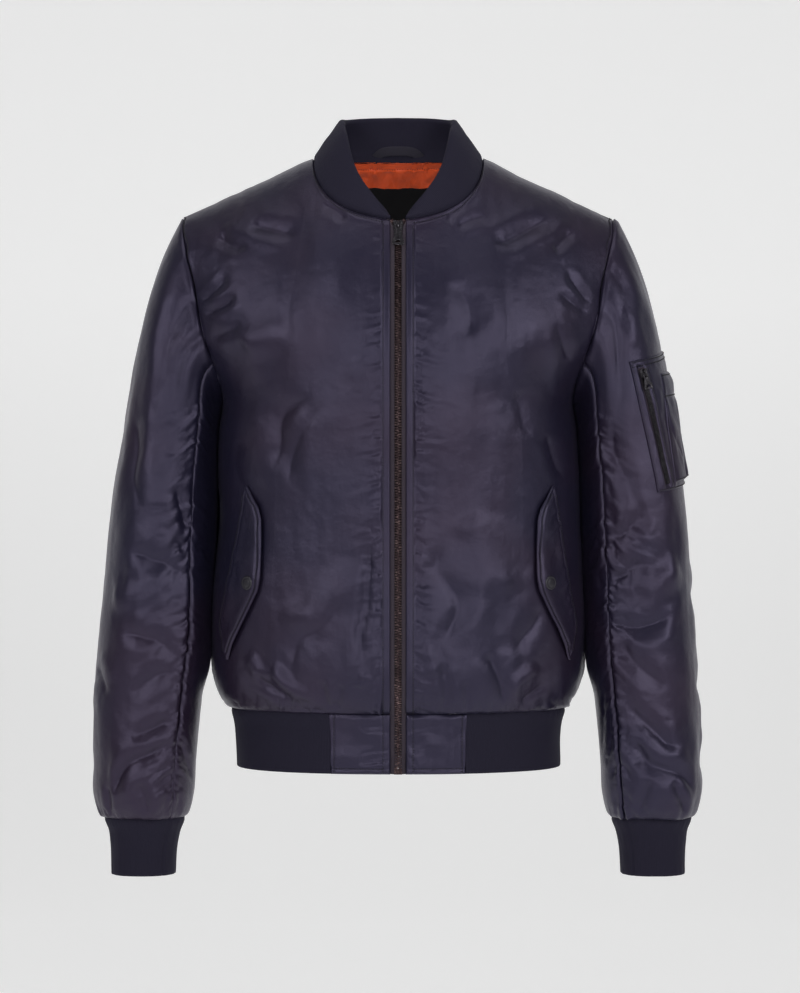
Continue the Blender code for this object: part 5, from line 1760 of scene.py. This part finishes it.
def on_arm(angle_degrees, height):
    """Folded point and smooth outward direction of the sleeve at a turn and a height."""
    angle = math.radians(angle_degrees) % (2.0 * math.pi)
    column = float(np.interp(angle, arm_angles, np.arange(len(arm_angles))))
    low = int(min(math.floor(column), len(arm_angles) - 2))
    part = column - low
    line = arm_plain[:, low] * (1 - part) + arm_plain[:, low + 1] * part
    bent = arm_folded[:, low] * (1 - part) + arm_folded[:, low + 1] * part
    facing = arm_normals[:, low] * (1 - part) + arm_normals[:, low + 1] * part
    order = np.argsort(line[:, 2])
    level = line[order, 2]

    def pick(values):
        return read_path(height, level, values[order])

    base, out = pick(line), unit(pick(facing))
    return base, out, float(np.dot(pick(bent) - base, out))


def slanted(front, back, top, bottom, across, down):
    u = np.linspace(0.0, 1.0, across + 1)[None, :]
    v = np.linspace(0.0, 1.0, down + 1)[:, None]
    start = front[0] + (front[1] - front[0]) * v
    end = back[0] + (back[1] - back[0]) * v
    angle = start + (end - start) * u
    upper = top[0] + (top[1] - top[0]) * u
    lower = bottom[0] + (bottom[1] - bottom[0]) * u
    return angle, upper + (lower - upper) * v


def laid_on_arm(angle, height):
    points, normals = np.zeros(angle.shape + (3,)), np.zeros(angle.shape + (3,))
    lifts = np.zeros(angle.shape)
    for index in np.ndindex(angle.shape):
        points[index], normals[index], lifts[index] = on_arm(angle[index], height[index])
    return points, normals, np.maximum(smoothed(lifts, 30), lifts)


def edge_distance(points):
    across, down = run_lengths(points, 1), run_lengths(points, 0)
    return np.minimum.reduce([across, across[:, -1:] - across, down, down[-1:] - down])


def patch_lines(grid, normals, across, down, from_top):
    """Stitch lines of a patch: down its front edge, across below its top, and at its foot."""
    side = slice(2, -2)
    lines = [trace(grid[side], normals[side], across[side], PATCH_STITCH)]
    for level in (*from_top, down[-1, side] - PATCH_STITCH):
        lines.append(trace_down(grid[:, side], normals[:, side], down[:, side], level))
    return lines


def arm_zip_run(angle, height, across):
    """Distance of the pocket's zip from the front edge of the pocket, for each row."""
    middle = np.interp(height[:, 0], (ARM_ZIP_BOTTOM[1], ARM_ZIP_TOP[1]),
                       (ARM_ZIP_BOTTOM[0], ARM_ZIP_TOP[0]))
    return np.array([np.interp(-m, -a, run) for m, a, run in zip(middle, angle, across)])


def build_arm_pocket():
    waves = Waves(51)
    angle, height = slanted(POCKET_FRONT_TURN, POCKET_BACK_TURN, POCKET_TOP, POCKET_BOTTOM,
                            72, 98)
    points, normals, lifts = laid_on_arm(angle, height)
    edge = edge_distance(points)
    across, down = run_lengths(points, 1), run_lengths(points, 0)
    zip_run = arm_zip_run(angle, height, across)[:, None]
    relief = waves(angle / 14.0, height / 0.02) * 0.0007
    relief += waves(angle / 5.0, height / 0.011) * 0.0003
    relief += puckers(waves, down[-1:] - down, across, 0.011, 0.02, 0.0008)
    lift = lifts + 0.0020 + relief * ease(edge / 0.006) + 0.0006 * ease(edge / 0.012)
    for line in (edge - PATCH_STITCH, down - POCKET_STITCH[1], across - zip_run - BESIDE_ARM_ZIP):
        lift += groove(line, 0.0005, 0.0010)
    lift += rolled_edge(edge, 0.0018, 0.0018)
    to_zip = np.abs(across - zip_run)
    slot = ease((height - ARM_ZIP_BOTTOM[1] + 0.002) / 0.004)
    slot = slot * ease((ARM_ZIP_TOP[1] + 0.006 - height) / 0.004)
    lift -= 0.0019 * np.exp(-(to_zip / 0.0040) ** 6) * slot
    lift += 0.0006 * np.exp(-((to_zip - 0.0056) / 0.0013) ** 2) * slot
    grid = points + normals * lift[..., None]
    add_cloth("sleeve_pocket", SATIN, grid, 0.0016,
              facing=(normals[42, 30], points[42, 30]))

    zipped = np.flatnonzero((height[:, 0] < ARM_ZIP_TOP[1]) & (height[:, 0] > ARM_ZIP_BOTTOM[1]))
    zip_side = trace(grid[zipped], normals[zipped], across[zipped],
                     zip_run[zipped, 0] + BESIDE_ARM_ZIP)
    lines = patch_lines(grid, normals, across, down, POCKET_STITCH)
    sew("sleeve_pocket_stitches", lines[:1] + [zip_side] + lines[1:], SHADE_DARKENED_THREAD)
    build_arm_zip(*trace(grid[zipped], normals[zipped], across[zipped], zip_run[zipped, 0]))
    build_pen_pocket(waves)


def build_arm_zip(path, outward):
    line = path + outward * 0.0026
    halves = []
    for side, first in ((1, 4.0), (-1, 4.5)):
        teeth = teeth_along(line, outward, ARM_TOOTH_PITCH, ARM_TOOTH_SCALE, side, first)
        halves.append(joined_mesh("half", teeth, TOOTH_FACES_BY_SIDE[-side], False))
    add_piece("sleeve_zip_teeth", merged("sleeve_zip_teeth", halves), [GUNMETAL],
              "sleeve_zip_chain")
    along = unit(np.gradient(path, axis=0))
    beside = unit(np.cross(along, outward))
    width = np.linspace(-0.0044, 0.0044, 7)
    tape = path[:, None] + beside[:, None] * width[None, :, None] + outward[:, None] * 0.0007
    add_cloth("sleeve_zip_tape", TAPE, tape, 0.0,
              facing=(outward[20], tape[20, 3]))
    place = joint_frame("sleeve_pull_hinge", path[0] - path[8])
    build_slider(place, ARM_SLIDER_WIDTH, ARM_SLIDER_LENGTH, "sleeve_slider",
                 "sleeve_zip_slider")
    build_pull(place, ARM_PULL_LENGTH, "sleeve_pull", "sleeve_pull_tab", "sleeve_pull_tab")


def build_pen_pocket(waves):
    pen_angle, pen_height = slanted((PEN_TOP[0], PEN_BOTTOM[0]), (PEN_BACK_TURN, PEN_BACK_TURN),
                                    (PEN_TOP[1], PEN_TOP[1] + 0.004),
                                    (PEN_BOTTOM[1], PEN_BOTTOM[1] + 0.008), 52, 100)
    points, normals, lifts = laid_on_arm(pen_angle, pen_height)
    edge = edge_distance(points)
    across, down = run_lengths(points, 1), run_lengths(points, 0)
    share = across / across[:, -1:]
    swell = 0.0034 * np.sin(math.pi * share) * ease(down / 0.02 + 0.35)
    pleat = 0.0014 * np.exp(-((share - 0.5) / 0.05) ** 2) * ease((down - 0.026) / 0.006)
    relief = waves(pen_angle / 9.0, pen_height / 0.016) * 0.0008
    relief += 0.0011 * wrinkles(waves, across / 0.009 + pen_height / 0.05, down / 0.03) * ease(
        (down - 0.026) / 0.01)
    lift = lifts + 0.0036 + swell + relief * ease(edge / 0.005) - pleat
    for line in (down - 0.0030, down - 0.0240, down - 0.0265, across - 0.0020):
        lift += groove(line, 0.0006, 0.0009)
    lift += rolled_edge(edge, 0.0018, 0.0018)
    grid = points + normals * lift[..., None]
    add_cloth("pen_pocket", SATIN, grid, 0.0015,
              facing=(normals[45, 24], points[45, 24]))
    lines = patch_lines(grid, normals, across, down, PEN_STITCH)
    sew("pen_pocket_stitches", lines, SHADE_DARKENED_THREAD)


build_arm_pocket()


# ---------------------------------------------------------------- linings in the back neck
LINING_COLUMNS = 39
LINING_STITCH = 0.0062    # topstitching of the bright lining, below the neck seam
ORANGE_DROP = 0.0360
DARK_DROP = 0.0700


def lining_grid(half, start, end, rows):
    """A surface inside the back neck, from one drop below the neck seam to another."""
    normals = -grid_normals(half)
    drops = np.linspace(start, end, rows)
    lines = []
    for column in range(LINING_COLUMNS):
        line, facing = half[::-1, column], normals[::-1, column]
        run = path_run(line)
        lines.append(np.stack([read_path(drops, run, line),
                               unit(read_path(drops, run, facing))]))
    made = np.stack(lines, axis=2)
    fine = np.linspace(0.0, made.shape[2] - 1.0, 4 * made.shape[2] - 3)
    low = np.minimum(fine.astype(int), made.shape[2] - 2)
    part = (fine - low)[:, None]
    made = made[:, :, low] * (1.0 - part) + made[:, :, low + 1] * part
    return np.concatenate([mirrored(made, -1)[:, :, :0:-1], made], axis=2), drops[:, None]


def build_linings(half):
    waves = Waves(61)
    for name, finish, slot, start, end, rows in (
            ("neck_lining", ORANGE, "orange_lining", 0.0, ORANGE_DROP, 44),
            ("back_lining", DARK, "dark_lining", ORANGE_DROP + 0.0003, ORANGE_DROP + DARK_DROP,
             40)):
        (points, out), drop = lining_grid(half, start, end, rows)
        x = points[..., 0]
        inside = 0.0048 + 0.0 * drop
        if name == "neck_lining":
            inside = 0.0060 + 0.0012 * ease(drop / 0.01)
            gather = wrinkles(waves, x / 0.0052, drop / 0.02) * np.exp(-drop / 0.013)
            soft = waves(x / 0.012, drop / 0.016 + 2.0) + 0.5 * waves(x / 0.0055, drop / 0.01)
            inside = inside + 0.0015 * gather * ease(drop / 0.006)
            inside = inside + 0.0018 * soft * ease((drop - 0.005) / 0.008)
            inside = inside - 0.0012 * np.exp(-((drop - LINING_STITCH) / 0.0011) ** 2)
        grid = points - out * (inside + 0.0 * x)[..., None]
        behind = 0.0 if name == "neck_lining" else 0.0012
        hidden = grid[0] + unit(grid[0] - grid[3]) * 0.0055 + out[0] * behind
        centre = (rows // 2, grid.shape[1] // 2)
        add_cloth(name, finish, np.concatenate([hidden[None], grid]), 0.0005,
                  facing=(-out[centre], grid[centre]))
        if name == "neck_lining":
            level = np.broadcast_to(drop, x.shape)
            line = trace_down(grid, -out, level, LINING_STITCH)
            sew("neck_lining_stitches", [line], ORANGE_THREAD)


LOOP_HALF_SPAN = 0.0262
LOOP_BULGE = 0.0034       # how far the loop stands out from the neck
LOOP_RISE = 0.0092


def build_loop(half):
    """A strip sewn into the back neck seam at both ends, which stands up in a low arch."""
    seat = half[-1, 0] + np.array([0.0, -0.0098, 0.0008])
    across = np.linspace(-1.0, 1.0, 49)
    spine = np.stack([LOOP_HALF_SPAN * across,
                      seat[1] - LOOP_BULGE * (1.0 - across ** 2) ** 0.5,
                      seat[2] + LOOP_RISE * (1.0 - across ** 4)], axis=-1)
    width = np.linspace(-0.0051, 0.0051, 9)
    up = unit(np.stack([0.55 * across ** 3, 0.0 * across - 0.15, 1.0 + 0.0 * across], axis=-1))
    grid = spine[:, None] + up[:, None] * width[None, :, None]
    add_cloth("hanger_loop", LOOP, grid, 0.0012,
              facing=((0.0, -1.0, 0.0), grid[24, 4]))


build_linings(back_plain)
build_loop(back_plain)


# ---------------------------------------------------------------- stage, lights and camera
PAPER_GLOW = 0.43         # a cyclorama that is lit from outside the view
FLOOR_HEIGHT = -1.25
FLOOR_START = -2.2
WALL_Y = 4.7
WALL_TOP = 6.0
SWEEP_RADIUS = 1.4
STAGE_HALF = 16.0


def stage_finish(name, colour):
    paper = Finish(name)
    tone = paper.noise(paper.place(), 0.6, 1.0)
    base = paper.blend(tone, colour, darker(colour, 0.99))
    return paper.finish({"Base Color": base, "Emission Color": base},
                        {"Roughness": 0.9, "Emission Strength": PAPER_GLOW})


def build_stage():
    profile = [(FLOOR_START, FLOOR_HEIGHT)]
    for angle in np.linspace(0.0, math.pi / 2.0, 17):
        profile.append((WALL_Y - SWEEP_RADIUS * (1.0 - math.sin(angle)),
                        FLOOR_HEIGHT + SWEEP_RADIUS * (1.0 - math.cos(angle))))
    profile.append((WALL_Y, WALL_TOP))
    grid = np.array([[(x, y, z) for x in (-STAGE_HALF, STAGE_HALF)] for y, z in profile])
    mesh = grid_mesh("backdrop", grid)
    drop = bpy.data.objects.new("backdrop", mesh)
    bpy.context.scene.collection.objects.link(drop)
    mesh.materials.append(stage_finish("pale_paper", (0.80, 0.80, 0.80, 1.0)))


# Area lights: place, what they face, width and height, and power.
AREA_LIGHTS = {
    "strip_left": ((-1.25, -3.9, 0.0), (0.0, 0.0, -0.25), (0.55, 1.05), 23.0),
    "strip_right": ((1.25, -3.9, 0.0), (0.0, 0.0, -0.25), (0.55, 1.05), 29.0),
    "key_left": ((-2.3, -2.4, 1.0), (0.0, 0.0, -0.3), (0.7, 1.5), 27.0),
    "key_right": ((2.4, -2.3, 0.9), (0.0, 0.0, -0.3), (0.7, 1.5), 33.0),
    "overhead": ((0.0, -0.6, 2.4), (0.0, 0.0, -0.3), (2.6, 0.9), 16.0),
}
NECK_FILL_PLACE = (0.0, -2.6, -0.12)
NECK_FILL_TARGET = (0.0, 0.06, -0.018)
NECK_FILL_POWER = 92.0
WORLD_STRENGTH = 0.21


def add_light(name, kind, place, target, power):
    data = bpy.data.lights.new(name, kind)
    data.energy = power
    lamp = bpy.data.objects.new(name, data)
    lamp.location = place
    facing = Vector(target) - Vector(place)
    lamp.rotation_euler = facing.to_track_quat("-Z", "Y").to_euler()
    bpy.context.scene.collection.objects.link(lamp)
    return data


def build_lights():
    for name, (place, target, size, power) in AREA_LIGHTS.items():
        light = add_light(name, "AREA", place, target, power)
        light.shape = "RECTANGLE"
        light.size, light.size_y = size
    spot = add_light("neck_fill", "SPOT", NECK_FILL_PLACE, NECK_FILL_TARGET, NECK_FILL_POWER)
    spot.spot_size = math.radians(5.5)
    spot.spot_blend = 0.7
    spot.shadow_soft_size = 0.10
    world = bpy.data.worlds.new("studio")
    bpy.context.scene.world = world
    world.use_nodes = True
    background = world.node_tree.nodes["Background"]
    background.inputs["Color"].default_value = (1.0, 1.0, 1.0, 1.0)
    background.inputs["Strength"].default_value = WORLD_STRENGTH


CAMERA_X = 0.002
CAMERA_DISTANCE = 3.5
CAMERA_HEIGHT = -0.360
VIEW_HEIGHT = 1.0625
SENSOR = 36.0


def build_camera():
    data = bpy.data.cameras.new("camera")
    data.sensor_fit = "VERTICAL"
    data.sensor_height = SENSOR
    data.lens = SENSOR * CAMERA_DISTANCE / VIEW_HEIGHT
    camera = bpy.data.objects.new("camera", data)
    camera.location = (CAMERA_X, -CAMERA_DISTANCE, CAMERA_HEIGHT)
    camera.rotation_euler = (math.pi / 2.0, 0.0, 0.0)
    bpy.context.scene.collection.objects.link(camera)
    bpy.context.scene.camera = camera
    bpy.context.scene.view_settings.view_transform = "Standard"


build_stage()
build_lights()
build_camera()
